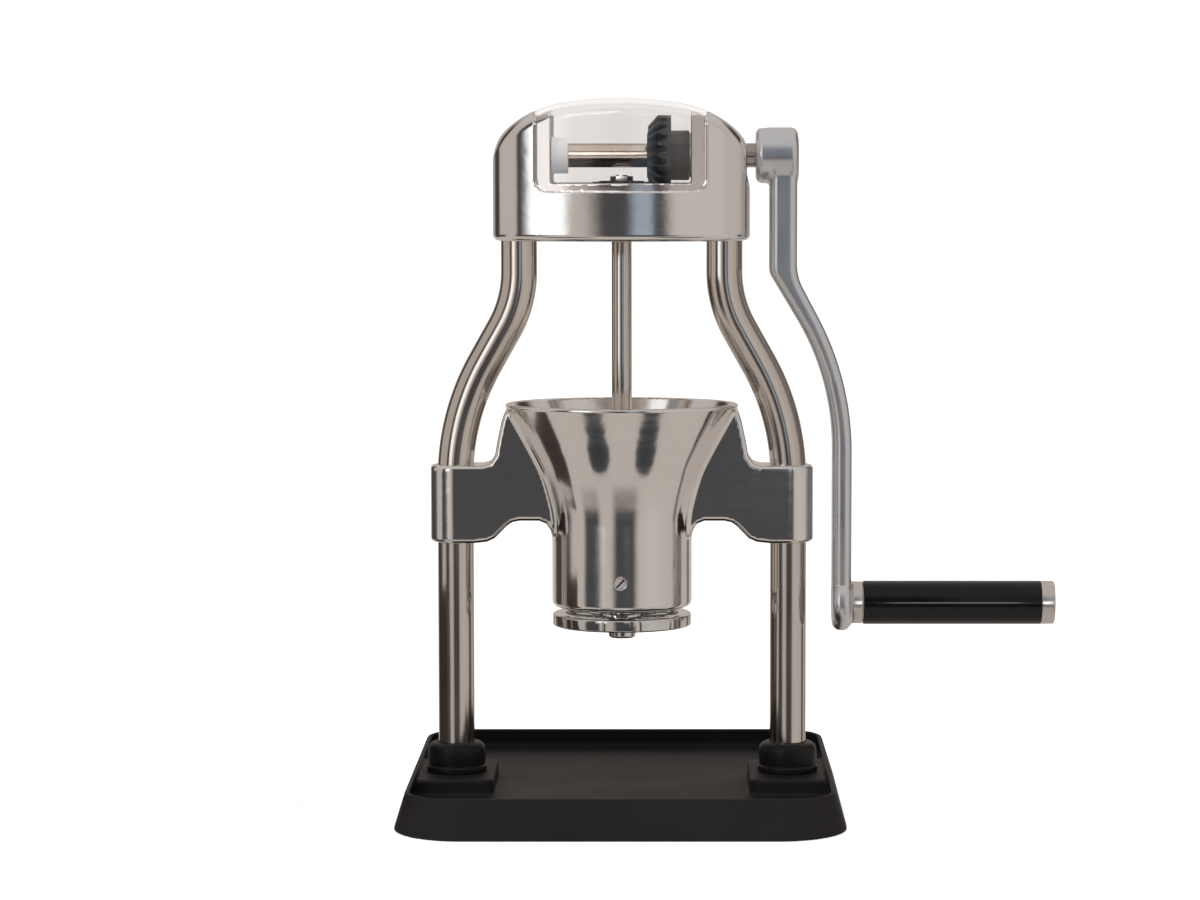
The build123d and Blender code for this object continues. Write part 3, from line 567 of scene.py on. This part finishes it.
def dressed(node, body, slot, material, edge=0.0002):
    """Merged copy of a CAD node, smooth on its round faces and with broken edges."""
    source = bpy.data.objects[node]
    work = bmesh.new()
    work.from_mesh(source.data)
    work.transform(source.matrix_world)
    bmesh.ops.remove_doubles(work, verts=work.verts, dist=2e-6)
    bmesh.ops.dissolve_limit(
        work, angle_limit=math.radians(0.3), verts=work.verts[:], edges=work.edges[:]
    )
    bmesh.ops.recalc_face_normals(work, faces=work.faces)
    mesh = bpy.data.meshes.new(node + "_finish")
    work.to_mesh(mesh)
    work.free()
    piece = place(mesh, node + "_finish")
    if edge:
        broken = piece.modifiers.new("broken_edges", "BEVEL")
        broken.width = edge
        broken.segments = 2
        broken.limit_method = "ANGLE"
        broken.angle_limit = math.radians(32.0)
        broken.use_clamp_overlap = True
        settled(piece)
    smoothed(piece)
    return finish_piece(piece, body, slot, material, node)


def moulded(name, colour, rough, uneven, grain, depth, shine=0.5):
    """Plastic or rubber with a fine moulded texture, grain to the metre."""
    made, nodes, links, shader = new_material(name)
    shader.inputs["Specular IOR Level"].default_value = shine
    where = nodes.new("ShaderNodeTexCoord")
    texture = nodes.new("ShaderNodeTexNoise")
    texture.inputs["Scale"].default_value = grain
    texture.inputs["Detail"].default_value = 3.0
    links.new(where.outputs["Object"], texture.inputs["Vector"])
    patches = nodes.new("ShaderNodeTexNoise")
    patches.inputs["Scale"].default_value = 28.0
    patches.inputs["Detail"].default_value = 4.0
    links.new(where.outputs["Object"], patches.inputs["Vector"])
    shade = nodes.new("ShaderNodeValToRGB")
    shade.color_ramp.elements[0].position = 0.35
    shade.color_ramp.elements[1].position = 0.65
    shade.color_ramp.elements[0].color = (*(0.86 * c for c in colour), 1.0)
    shade.color_ramp.elements[1].color = (*(1.12 * c for c in colour), 1.0)
    links.new(patches.outputs["Fac"], shade.inputs["Fac"])
    links.new(shade.outputs["Color"], shader.inputs["Base Color"])
    level = nodes.new("ShaderNodeMapRange")
    level.inputs["From Min"].default_value = 0.3
    level.inputs["From Max"].default_value = 0.7
    level.inputs["To Min"].default_value = max(rough - uneven, 0.02)
    level.inputs["To Max"].default_value = rough + uneven
    links.new(patches.outputs["Fac"], level.inputs["Value"])
    links.new(level.outputs[0], shader.inputs["Roughness"])
    bump = nodes.new("ShaderNodeBump")
    bump.inputs["Strength"].default_value = 0.35
    bump.inputs["Distance"].default_value = depth
    links.new(texture.outputs["Fac"], bump.inputs["Height"])
    links.new(bump.outputs[0], shader.inputs["Normal"])
    return made


sintered = metal("blackened_steel", (0.05, 0.05, 0.053), 0.42, 0.1, (900.0, 900.0, 900.0), 0.00003, 0.6)
bright = metal("bright_steel", (0.66, 0.65, 0.63), 0.36, 0.08, (700.0, 120.0, 700.0), 0.00002)
bronze = metal("sintered_bronze", (0.55, 0.38, 0.20), 0.38, 0.1, (600.0, 600.0, 600.0), 0.00004)
acetal = moulded("white_acetal", (0.90, 0.91, 0.925), 0.42, 0.06, 900.0, 0.00003)
# a small emission stands for the light that passes through the pale plastic
shader = acetal.node_tree.nodes["Principled BSDF"]
shader.inputs["Emission Color"].default_value = (0.88, 0.93, 1.0, 1.0)
shader.inputs["Emission Strength"].default_value = 0.22
for node in ("crank_gear", "shaft_gear"):
    body = "crank" if node == "crank_gear" else "drive"
    dressed(node, body, "dark_gear", sintered, 0.00015)
dressed("crank_gear_pin", "crank", "steel_hardware", sintered)
dressed("crank_washer", "crank", "steel_hardware", bright)
for node in ("shaft_gear_pin", "shaft_nut"):
    dressed(node, "drive", "steel_hardware", bright)
for node in ("cover_screws", "head_grub_screws"):
    dressed(node, "frame", "steel_hardware", bright, 0.00015)
for node in ("crank_bearing_left", "crank_bearing_right"):
    dressed(node, "frame", "white_acetal", acetal)
dressed("head_bush", "frame", "bearing_bronze", bronze)

# ---- Shafts -----------------------------------------------------------------------------------
# Ground and polished steel bar: the crank shaft lies across the head, and the drive shaft hangs
# from its gear down through the hopper to the burr, with a thread at its foot.


# painted shade: the crank shaft's steel is coloured darker than the drive shaft's, for the shade it lies in
# inside the head
crank_bar_in_shade = metal("crank_bar_in_shade", (0.48, 0.42, 0.37), 0.15, 0.05, (900.0, 30.0, 30.0), 0.00002)
drive_bar = metal("drive_bar", (0.70, 0.65, 0.60), 0.15, 0.05, (30.0, 30.0, 900.0), 0.00002)
dressed("crank_shaft", "crank", "polished_stainless", crank_bar_in_shade)
dressed("drive_shaft", "drive", "polished_stainless", drive_bar)

# ---- Columns ----------------------------------------------------------------------------------
# One polished stainless tube each side, bent twice: from the head's socket outwards and down
# through the clamp sleeve to the base. Polished along its length.

tube_d, upper_x, lower_x = 0.018, 0.051, 0.083
column_top, upper_bend_z, lower_bend_z = 0.304, 0.2528, 0.1958
upper_bend_r, lower_bend_r = 0.058, 0.117
column_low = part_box("column_left")[0].z
tube_steel = metal("polished_tube", (0.74, 0.69, 0.64), 0.13, 0.04, (300.0, 300.0, 14.0), 0.00002)


def bent_tube_tree():
    """Sweeps a round section along a chain of straight runs with its two corners filleted."""
    tree = bpy.data.node_groups.new("bent_tube", "GeometryNodeTree")
    face = tree.interface
    face.new_socket("Geometry", in_out="INPUT", socket_type="NodeSocketGeometry")
    for label in ("Radius", "Upper bend", "Lower bend"):
        face.new_socket(label, in_out="INPUT", socket_type="NodeSocketFloat")
    face.new_socket("Material", in_out="INPUT", socket_type="NodeSocketMaterial")
    face.new_socket("Geometry", in_out="OUTPUT", socket_type="NodeSocketGeometry")
    nodes, links = tree.nodes, tree.links
    given = nodes.new("NodeGroupInput")
    path = nodes.new("GeometryNodeMeshToCurve")
    links.new(given.outputs["Geometry"], path.inputs[0])
    number = nodes.new("GeometryNodeInputIndex")
    second = nodes.new("ShaderNodeMath")
    second.operation = "COMPARE"
    second.inputs[1].default_value = 1.0
    second.inputs[2].default_value = 0.1
    links.new(number.outputs[0], second.inputs[0])
    bend = nodes.new("ShaderNodeMix")
    links.new(second.outputs[0], bend.inputs["Factor"])
    links.new(given.outputs["Lower bend"], bend.inputs["A"])
    links.new(given.outputs["Upper bend"], bend.inputs["B"])
    round_off = nodes.new("GeometryNodeFilletCurve")
    round_off.mode = "POLY"
    round_off.inputs["Count"].default_value = 30
    links.new(path.outputs[0], round_off.inputs["Curve"])
    links.new(bend.outputs[0], round_off.inputs["Radius"])
    section = nodes.new("GeometryNodeCurvePrimitiveCircle")
    section.inputs["Resolution"].default_value = 72
    links.new(given.outputs["Radius"], section.inputs["Radius"])
    swept = nodes.new("GeometryNodeCurveToMesh")
    swept.inputs["Fill Caps"].default_value = True
    links.new(round_off.outputs[0], swept.inputs["Curve"])
    links.new(section.outputs[0], swept.inputs["Profile Curve"])
    real = nodes.new("GeometryNodeRealizeInstances")
    links.new(swept.outputs[0], real.inputs[0])
    coat = nodes.new("GeometryNodeSetMaterial")
    links.new(real.outputs[0], coat.inputs["Geometry"])
    links.new(given.outputs["Material"], coat.inputs["Material"])
    result = nodes.new("NodeGroupOutput")
    links.new(coat.outputs[0], result.inputs[0])
    return tree


def bent_tube(name, points, radius, upper, lower, material):
    """Plain mesh of a tube along a chain of points."""
    chain = bpy.data.meshes.new(name)
    chain.from_pydata(points, [(i, i + 1) for i in range(len(points) - 1)], [])
    piece = place(chain, name)
    sweep_modifier = piece.modifiers.new("bent_tube", "NODES")
    sweep_modifier.node_group = tube_tree
    values = {"Radius": radius, "Upper bend": upper, "Lower bend": lower, "Material": material}
    for item in tube_tree.interface.items_tree:
        if item.name in values:
            sweep_modifier[item.identifier] = values[item.name]
    return smoothed(settled(piece))


tube_tree = bent_tube_tree()
for side, node in ((-1, "column_left"), (1, "column_right")):
    points = [
        (side * upper_x, 0.0, column_top),
        (side * upper_x, 0.0, upper_bend_z),
        (side * lower_x, 0.0, lower_bend_z),
        (side * lower_x, 0.0, column_low),
    ]
    tube = bent_tube(node + "_tube", points, tube_d / 2, upper_bend_r, lower_bend_r, tube_steel)
    finish_piece(tube, "frame", "polished_stainless", tube_steel, node)

# ---- Hopper, wings and burr housing -----------------------------------------------------------
# One aluminium casting: an oval hopper that narrows into the round burr housing, and a wing each
# side that ends in a sleeve clamped on the column. Ground and polished all over.


def polygon(u, v, corners):
    """Signed distance from a closed outline in a plane, negative inside."""
    nearest = np.full(np.shape(u + v), np.inf)
    crossings = np.zeros(np.shape(nearest), bool)
    for (u0, v0), (u1, v1) in zip(corners, corners[1:] + corners[:1]):
        du, dv = u1 - u0, v1 - v0
        along = np.clip(((u - u0) * du + (v - v0) * dv) / (du * du + dv * dv), 0, 1)
        nearest = np.minimum(nearest, np.hypot(u - u0 - along * du, v - v0 - along * dv))
        if dv:
            crossings ^= ((v0 > v) != (v1 > v)) & (u < u0 + (v - v0) * du / dv)
    return np.where(crossings, -nearest, nearest)


casting_low, casting_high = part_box("centre_casting")
hopper_rings = np.array([
    (0.1435, 0.0348, 0.0348),
    (0.1500, 0.0356, 0.0351),
    (0.1560, 0.0370, 0.0357),
    (0.1684, 0.0408, 0.0374),
    (0.1810, 0.0470, 0.0403),
    (0.1920, 0.0530, 0.0436),
    (0.2025, 0.0588, 0.0470),
])
throat_r, burr_bore_r = 0.0280, 0.0241
housing_bottom, spider_seat, throat_z = casting_low.z, 0.140, 0.146
hopper_wall, sleeve_r = 0.0028, 0.0125
wing_half = [
    (0.0580, 0.1985), (0.0596, 0.1940), (0.0617, 0.1840), (0.0629, 0.1770), (0.0655, 0.1732),
    (0.0695, 0.1720), (0.0970, 0.1720), (0.0970, 0.1333), (0.0735, 0.1333), (0.0670, 0.1340),
    (0.0630, 0.1358), (0.0570, 0.1419), (0.0545, 0.1437), (0.0510, 0.1445), (0.0410, 0.1445),
    (0.0375, 0.1430), (0.0355, 0.1400), (0.0340, 0.1370), (0.0, 0.1370), (0.0, 0.1985),
]


def spline(z, column):
    """Half axis of the hopper at a height, smooth through its rings and straight below them."""
    heights, widths = hopper_rings[:, 0], hopper_rings[:, column]
    slopes = np.gradient(widths, heights)
    slopes[0] = 0.0
    inside = np.clip(z, heights[0], heights[-1])
    k = np.clip(np.searchsorted(heights, inside) - 1, 0, len(heights) - 2)
    step = heights[k + 1] - heights[k]
    t = (inside - heights[k]) / step
    ends = (1 + 2 * t) * (1 - t) ** 2 * widths[k] + t * t * (3 - 2 * t) * widths[k + 1]
    bends = t * (1 - t) ** 2 * slopes[k] - t * t * (1 - t) * slopes[k + 1]
    above = np.maximum(z - heights[-1], 0) * slopes[-1]
    return ends + bends * step + above


def cone(x, y, z, inset):
    """Distance from the oval hopper's surface, pulled in by an inset."""
    a, b = spline(z, 1) - inset, spline(z, 2) - inset
    reach = np.hypot(x / a, y / b)
    steep = np.maximum(np.hypot(x / a**2, y / b**2) / np.maximum(reach, 1e-6), 1e-6)
    lean = (spline(z + 0.0005, 1) - spline(z - 0.0005, 1)) / 0.001
    return (reach - 1) / steep / np.hypot(1.0, lean)


def casting_shape(x, y, z):
    """Hopper, housing and wings as one solid, hollowed and bored."""
    outside = round_max(cone(x, y, z, 0.0), z - casting_high.z, 0.0020)
    outside = round_max(outside, housing_bottom - z, 0.003)
    outline = polygon(np.abs(x), z + 0 * x, wing_half)
    plan = np.hypot(np.maximum(np.abs(x) - lower_x, 0), y) - sleeve_r
    wings = round_max(outline, plan, 0.0022)
    solid = round_min(outside, wings, 0.0025)
    bowl = np.maximum(cone(x, y, z, hopper_wall), throat_z - z)
    from_axis = np.hypot(x, y)
    throat = np.maximum(from_axis - throat_r, spider_seat - z)
    mouth = np.maximum(from_axis - 0.0295, z - housing_bottom - 0.002)
    hollow = np.minimum(np.minimum(bowl, throat), np.minimum(from_axis - burr_bore_r, mouth))
    solid = round_max(solid, -hollow, 0.0008)
    drift = np.maximum(z - 0.1652, 0) ** 2 / (2 * lower_bend_r)
    sleeve_bore = np.hypot(np.abs(x) - lower_x + drift, y) - tube_d / 2
    lock_hole = np.maximum(np.hypot(x + 0.0005, z - 0.1157) - 0.0027, y + 0.020)
    clamp_hole = np.maximum(np.hypot(np.abs(x) - lower_x, z - 0.152) - 0.0025, 0.005 - y)
    return round_max(solid, -np.minimum(np.minimum(sleeve_bore, lock_hole), clamp_hole), 0.0005)


casting = skin(
    "hopper_casting",
    casting_shape,
    (casting_low.x - margin, casting_low.y - margin, casting_low.z - margin),
    (casting_high.x + margin, casting_high.y + margin, casting_high.z + margin),
    0.00097 * fine,
)
finish_piece(casting, "frame", "polished_aluminium", polished, "centre_casting")
dressed("clamp_screws", "frame", "steel_hardware", bright, 0.00015)
nickel = metal("nickel_screw", (0.92, 0.89, 0.88), 0.5, 0.05, (500.0, 60.0, 500.0), 0.00002)
lock_screw = dressed("burr_lock_screw", "frame", "steel_hardware", nickel, 0.00015)
# painted shade: the faces of the screw's slot take the blackened steel, for the shade down in the slot
lock_screw.data.materials.append(sintered)
screw_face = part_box("burr_lock_screw")[0].y
for face in lock_screw.data.polygons:
    face.material_index = int(0.0002 < face.center.y - screw_face < 0.0010)

# ---- Spider, burrs and spring -----------------------------------------------------------------
# Inside the housing a three-armed aluminium spider holds the lower bush. The inner burr slides on
# the shaft's key against a wound steel spring inside the outer burr that is locked in the housing.

satin = metal("satin_aluminium", (0.80, 0.82, 0.845), 0.30, 0.05, (140.0, 900.0, 40.0), 0.00004)
burr_grey = metal("ground_burr_steel", (0.42, 0.42, 0.43), 0.3, 0.08, (400.0, 400.0, 400.0), 0.00002)
dressed("bearing_spider", "frame", "satin_aluminium", satin, 0.0004)
dressed("spider_bush", "frame", "bearing_bronze", bronze)
dressed("inner_burr", "burr", "burr_steel", burr_grey, 0.0)
dressed("outer_burr", "frame", "burr_steel", burr_grey, 0.0)
for node in ("spring_washer", "shaft_clip", "drive_key"):
    dressed(node, "drive", "steel_hardware", bright, 0.0)
wire_r, coil_r, turns, steps = 0.0006, 0.0076, 3, 28
coil_low, coil_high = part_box("burr_spring")[0].z + wire_r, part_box("burr_spring")[1].z - wire_r
wire = bpy.data.curves.new("spring_wire", "CURVE")
wire.dimensions = "3D"
wire.bevel_depth, wire.bevel_resolution, wire.use_fill_caps = wire_r, 4, True
line = wire.splines.new("POLY")
line.points.add(turns * steps)
for i, point in enumerate(line.points):
    a = 2 * math.pi * i / steps
    rise = coil_low + (coil_high - coil_low) * i / (turns * steps)
    point.co = (coil_r * math.cos(a), coil_r * math.sin(a), rise, 1.0)
wire_object = bpy.data.objects.new("spring_wire", wire)
bpy.context.scene.collection.objects.link(wire_object)
bpy.context.view_layer.update()
graph = bpy.context.evaluated_depsgraph_get()
coil = place(bpy.data.meshes.new_from_object(wire_object.evaluated_get(graph)), "spring_coil")
bpy.data.objects.remove(wire_object)
finish_piece(smoothed(coil), "drive", "steel_hardware", bright, "burr_spring")
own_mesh(coil)

# ---- Adjuster ---------------------------------------------------------------------------------
# Plated ring under the housing, with index grooves round its edge and three spokes. Its threaded
# insert carries the inner burr, so turning it sets how fine the coffee is ground.

plated = metal("bright_plating", (0.80, 0.79, 0.78), 0.07, 0.03, (60.0, 60.0, 400.0), 0.00001)
dressed("adjuster_ring", "adjuster", "chrome", plated, 0.0003)
dressed("adjuster_nut", "adjuster", "chrome", plated)

# ---- Crank arm --------------------------------------------------------------------------------
# Cast arm with a satin finish: a round hub on the shaft, a straight top, a slanted middle and a
# long straight drop to the eye that holds the grip's spindle.

arm_low, arm_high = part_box("crank_arm")
grip_z = (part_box("grip_tube")[0].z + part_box("grip_tube")[1].z) / 2
hub_r, eye_r, boss_r = arm_high.z - crank_z, 0.0140, 0.0110
hub_left, hub_right = arm_low.x, 0.0873


def bent_line(z, top, low, top_r, low_r):
    """X of a line that bends twice on its way down, and its slope; each corner is (x, z)."""
    (top_x, top_z), (low_x, low_z) = top, low
    lean = math.atan((low_x - top_x) / (top_z - low_z))
    upper, lower = top_r * math.tan(lean / 2), low_r * math.tan(lean / 2)
    sunk = np.clip(top_z + upper - z, 0, top_r * math.sin(lean))
    raised = np.clip(z - low_z + lower, 0, low_r * math.sin(lean))
    first = top_x + top_r - np.sqrt(top_r**2 - sunk**2)
    last = low_x - low_r + np.sqrt(low_r**2 - raised**2)
    middle = top_x + math.tan(lean) * (top_z - z)
    x = np.where(z > top_z - upper * math.cos(lean), first, middle)
    x = np.where(z < low_z + lower * math.cos(lean), last, x)
    turned = np.where(z > low_z, np.arcsin(sunk / top_r), np.arcsin(raised / low_r))
    return x, np.cos(np.minimum(turned, lean))


def arm_shape(x, y, z):
    """Bent ribbon with a hub at the shaft and an eye at the grip."""
    inner, inner_face = bent_line(z, (0.0733, 0.2672), (0.1049, 0.2146), 0.010, 0.125)
    outer, outer_face = bent_line(z, (0.0869, 0.2656), (0.1144, 0.2137), 0.025, 0.144)
    ribbon = round_max((inner - x) * inner_face, (x - outer) * outer_face, 0.0005)
    along = np.clip((z - grip_z) / (crank_z - grip_z), 0, 1)
    between = np.maximum(np.maximum(grip_z - z, z - crank_z), np.abs(y) - 0.010 - 0.0015 * along)
    rounds = np.minimum(np.hypot(y, z - crank_z) - hub_r + 0.0022, np.hypot(y, z - grip_z) - eye_r)
    arm = round_max(ribbon, np.minimum(between, rounds), 0.0042)
    from_shaft = np.hypot(y, z - crank_z)
    hub = round_max(from_shaft - hub_r, np.maximum(hub_left - x, x - hub_right), 0.0034)
    from_grip = np.hypot(y, z - grip_z)
    boss = round_max(from_grip - boss_r, np.maximum(0.108 - x, x - arm_high.x), 0.0008)
    solid = round_min(round_min(arm, hub, 0.002), boss, 0.001)
    shaft_bore = np.maximum(from_shaft - 0.006, x - 0.084)
    spindle_bore = np.maximum(from_grip - 0.004, 0.1069 - x)
    screw_hole = np.maximum(np.hypot(x - 0.070, y) - 0.0025, crank_z - z)
    return round_max(solid, -np.minimum(np.minimum(shaft_bore, spindle_bore), screw_hole), 0.0004)


arm = skin(
    "arm_casting",
    arm_shape,
    (arm_low.x - margin, arm_low.y - margin, arm_low.z - margin),
    (arm_high.x + margin, arm_high.y + margin, arm_high.z + margin),
    0.0008 * fine,
)
finish_piece(arm, "crank", "satin_aluminium", satin, "crank_arm")
dressed("hub_screw", "crank", "steel_hardware", bright, 0.00015)

# ---- Grip -------------------------------------------------------------------------------------
# Glossy black tube that turns on a steel spindle fixed in the arm's eye, between a turned steel
# collar and a turned steel end cap.


def eased(corners):
    """Outline with its corners rounded: each corner is (radius, along, rounding)."""
    done = []
    for i, (r, t, rounding) in enumerate(corners):
        here = np.array((r, t))
        before = np.array(corners[i - 1][:2]) - here
        after = np.array(corners[(i + 1) % len(corners)][:2]) - here
        before, after = before / np.linalg.norm(before), after / np.linalg.norm(after)
        half = math.acos(max(-1.0, min(1.0, float(before @ after)))) / 2
        if not rounding or half > 1.56:
            done.append((r, t))
            continue
        middle = here + (before + after) / np.linalg.norm(before + after) * rounding / math.sin(half)
        start = here + before * rounding / math.tan(half) - middle
        end = here + after * rounding / math.tan(half) - middle
        for step in range(6):
            spoke = start * (1 - step / 5) + end * step / 5
            done.append(tuple(middle + spoke / np.linalg.norm(spoke) * rounding))
    return done


def turned(name, corners, centre, axis, segments=96):
    """Turned piece: a closed outline of (radius, along, rounding) spun round X or Z."""
    outline = eased(corners)
    spun = bmesh.new()
    rings = []
    for r, t in outline:
        ring = []
        for k in range(segments if r > 1e-7 else 1):
            a = 2 * math.pi * k / segments
            u, v = r * math.cos(a), r * math.sin(a)
            spot = (t, u, v) if axis == "X" else (u, v, t)
            ring.append(spun.verts.new(Vector(centre) + Vector(spot)))
        rings.append(ring)
    for one, two in zip(rings, rings[1:] + rings[:1]):
        for k in range(segments):
            after = (k + 1) % segments
            loop = [one[k % len(one)], one[after % len(one)], two[after % len(two)], two[k % len(two)]]
            loop = list(dict.fromkeys(loop))
            if len(loop) > 2:
                spun.faces.new(loop)
    bmesh.ops.recalc_face_normals(spun, faces=spun.faces)
    mesh = bpy.data.meshes.new(name)
    spun.to_mesh(mesh)
    spun.free()
    return smoothed(place(mesh, name))


collar_low, collar_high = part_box("grip_collar")
tube_low, tube_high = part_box("grip_tube")
cap_low, cap_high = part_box("grip_cap")
grip_axis = (0.0, 0.0, grip_z)
grip_r, collar_r, cap_r, spindle_r, grip_bore = 0.01085, 0.0105, 0.01075, 0.004, 0.0085
gloss = moulded("gloss_black", (0.004, 0.004, 0.0045), 0.09, 0.02, 350.0, 0.000004, 0.3)
turned_steel = metal("turned_steel", (0.74, 0.70, 0.66), 0.24, 0.05, (1500.0, 40.0, 40.0), 0.00003)
collar = turned("collar_turning", [
    (spindle_r, collar_low.x, 0.0002), (collar_r, collar_low.x, 0.0006),
    (collar_r, collar_high.x, 0.0006), (spindle_r, collar_high.x, 0.0002),
], grip_axis, "X")
finish_piece(collar, "crank", "brushed_steel", turned_steel, "grip_collar")
tube = turned("grip_sleeve", [
    (grip_bore, tube_low.x, 0.0002), (grip_r, tube_low.x, 0.0004),
    (grip_r, tube_high.x, 0.0004), (grip_bore, tube_high.x, 0.0002),
], grip_axis, "X", 128)
finish_piece(tube, "grip", "gloss_black", gloss, "grip_tube")
cap = turned("cap_turning", [
    (0.0, cap_low.x, 0.0), (grip_bore, cap_low.x, 0.0003), (grip_bore, tube_high.x, 0.0),
    (cap_r, tube_high.x, 0.0003), (cap_r, cap_high.x, 0.0009), (0.0, cap_high.x, 0.0),
], grip_axis, "X")
finish_piece(cap, "grip", "brushed_steel", turned_steel, "grip_cap")
grip_strip = softbox("grip_strip", (0.36, -2.45, 0.27), (0.165, 0.0, 0.10), 0.6, 0.26, 2.6)
grip_turnings = bpy.data.collections.new("grip_turnings")
for piece in (collar, tube, cap):
    grip_turnings.objects.link(piece)
grip_strip.light_linking.receiver_collection = grip_turnings
for node in ("grip_spindle", "grip_clip"):
    dressed(node, "crank", "steel_hardware", bright)
dressed("grip_bushes", "grip", "white_acetal", acetal)

# ---- Boots ------------------------------------------------------------------------------------
# Black rubber boot round the foot of each column. It stands on the tray's platform, with a lip
# at its foot and a rounded shoulder.

boot_low, boot_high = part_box("boot_left")
boot_r = boot_high.x + lower_x
rubber = moulded("black_rubber", (0.0038, 0.0036, 0.0037), 0.42, 0.08, 1400.0, 0.00004, 0.3)
for side, node in ((-1, "boot_left"), (1, "boot_right")):
    low, high = boot_low.z, boot_high.z
    boot = turned(node + "_rubber", [
        (tube_d / 2, low, 0.0), (boot_r, low, 0.0004), (boot_r, low + 0.0028, 0.0008),
        (boot_r - 0.0008, low + 0.0036, 0.0004), (boot_r - 0.0004, low + 0.0080, 0.0),
        (boot_r - 0.0010, high, 0.0038), (tube_d / 2 + 0.0010, high, 0.0004),
        (tube_d / 2, high - 0.0010, 0.0),
    ], (side * lower_x, 0.0, 0.0), "Z")
    finish_piece(boot, "frame", "black_rubber", rubber, node)

# ---- Base -------------------------------------------------------------------------------------
# Matt black moulded tray with sloping sides and a thin raised rim. Two platforms carry the
# columns. A steel plate under it takes the column screws, and a rubber pad covers the plate.

tray_low, tray_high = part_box("base_tray")
tray_y, tray_half_y = (tray_low.y + tray_high.y) / 2, (tray_high.y - tray_low.y) / 2
rim_z, floor_top, platform_z = tray_high.z, 0.0095, boot_low.z
flare, rim_wide, underside = 0.0058, 0.0025, 0.007
foot_corner, rim_corner = 0.035, 0.024


def rounded_box(x, y, half_x, half_y, corner):
    """Distance from a rectangle with round corners, seen from above."""
    u, v = np.abs(x) - half_x + corner, np.abs(y) - half_y + corner
    return np.hypot(np.maximum(u, 0), np.maximum(v, 0)) + np.minimum(np.maximum(u, v), 0) - corner


def tray_shape(x, y, z):
    """Sloping tray with its well, two platforms and the recess under it."""
    up = np.clip((z - 0.001) / (rim_z - 0.001), 0, 1)
    pulled = flare * up
    corner = foot_corner + (rim_corner - foot_corner) * up
    side = rounded_box(x, y - tray_y, tray_high.x - pulled, tray_half_y - pulled, corner)
    solid = round_max(side * 0.983, np.maximum(z - rim_z, -z), 0.0009)
    inner = rounded_box(
        x, y - tray_y, tray_high.x - pulled - rim_wide, tray_half_y - pulled - rim_wide, corner - rim_wide
    )
    well = round_max(inner * 0.983, floor_top - z, 0.0030)
    middle_y, half_y = 0.0035, 0.0325
    ledge = rounded_box(np.abs(x) - 0.0935, y - middle_y, 0.030, half_y, 0.006)
    ledge = round_max(ledge, z - platform_z, 0.0016)
    well = round_max(well, -ledge, 0.0018)
    recess = rounded_box(x, y - tray_y, tray_high.x - 0.0045, tray_half_y - 0.0045, foot_corner - 0.0045)
    recess = np.maximum(recess, z - underside)
    holes = np.hypot(np.abs(x) - lower_x, y) - tube_d / 2
    solid = round_max(solid, -well, 0.0009)
    return round_max(solid, -np.minimum(recess, holes + 0 * z), 0.0003)


tray_black = moulded("tray_black", (0.013, 0.0118, 0.0115), 0.55, 0.05, 2600.0, 0.00005, 0.16)
tray = skin(
    "tray_moulding",
    tray_shape,
    (tray_low.x - margin, tray_low.y - margin, -margin),
    (tray_high.x + margin, tray_high.y + margin, tray_high.z + margin),
    np.array((0.0017, 0.0017, 0.0008)) * fine,
)
finish_piece(tray, "frame", "matte_black", tray_black, "base_tray")
dressed("foot_pad", "frame", "black_rubber", rubber, 0.0005)
dressed("base_plate", "frame", "steel_hardware", bright, 0.0003)
dressed("base_bolts", "frame", "steel_hardware", bright, 0.0002)
dressed("column_plugs", "frame", "steel_hardware", bright, 0.0)
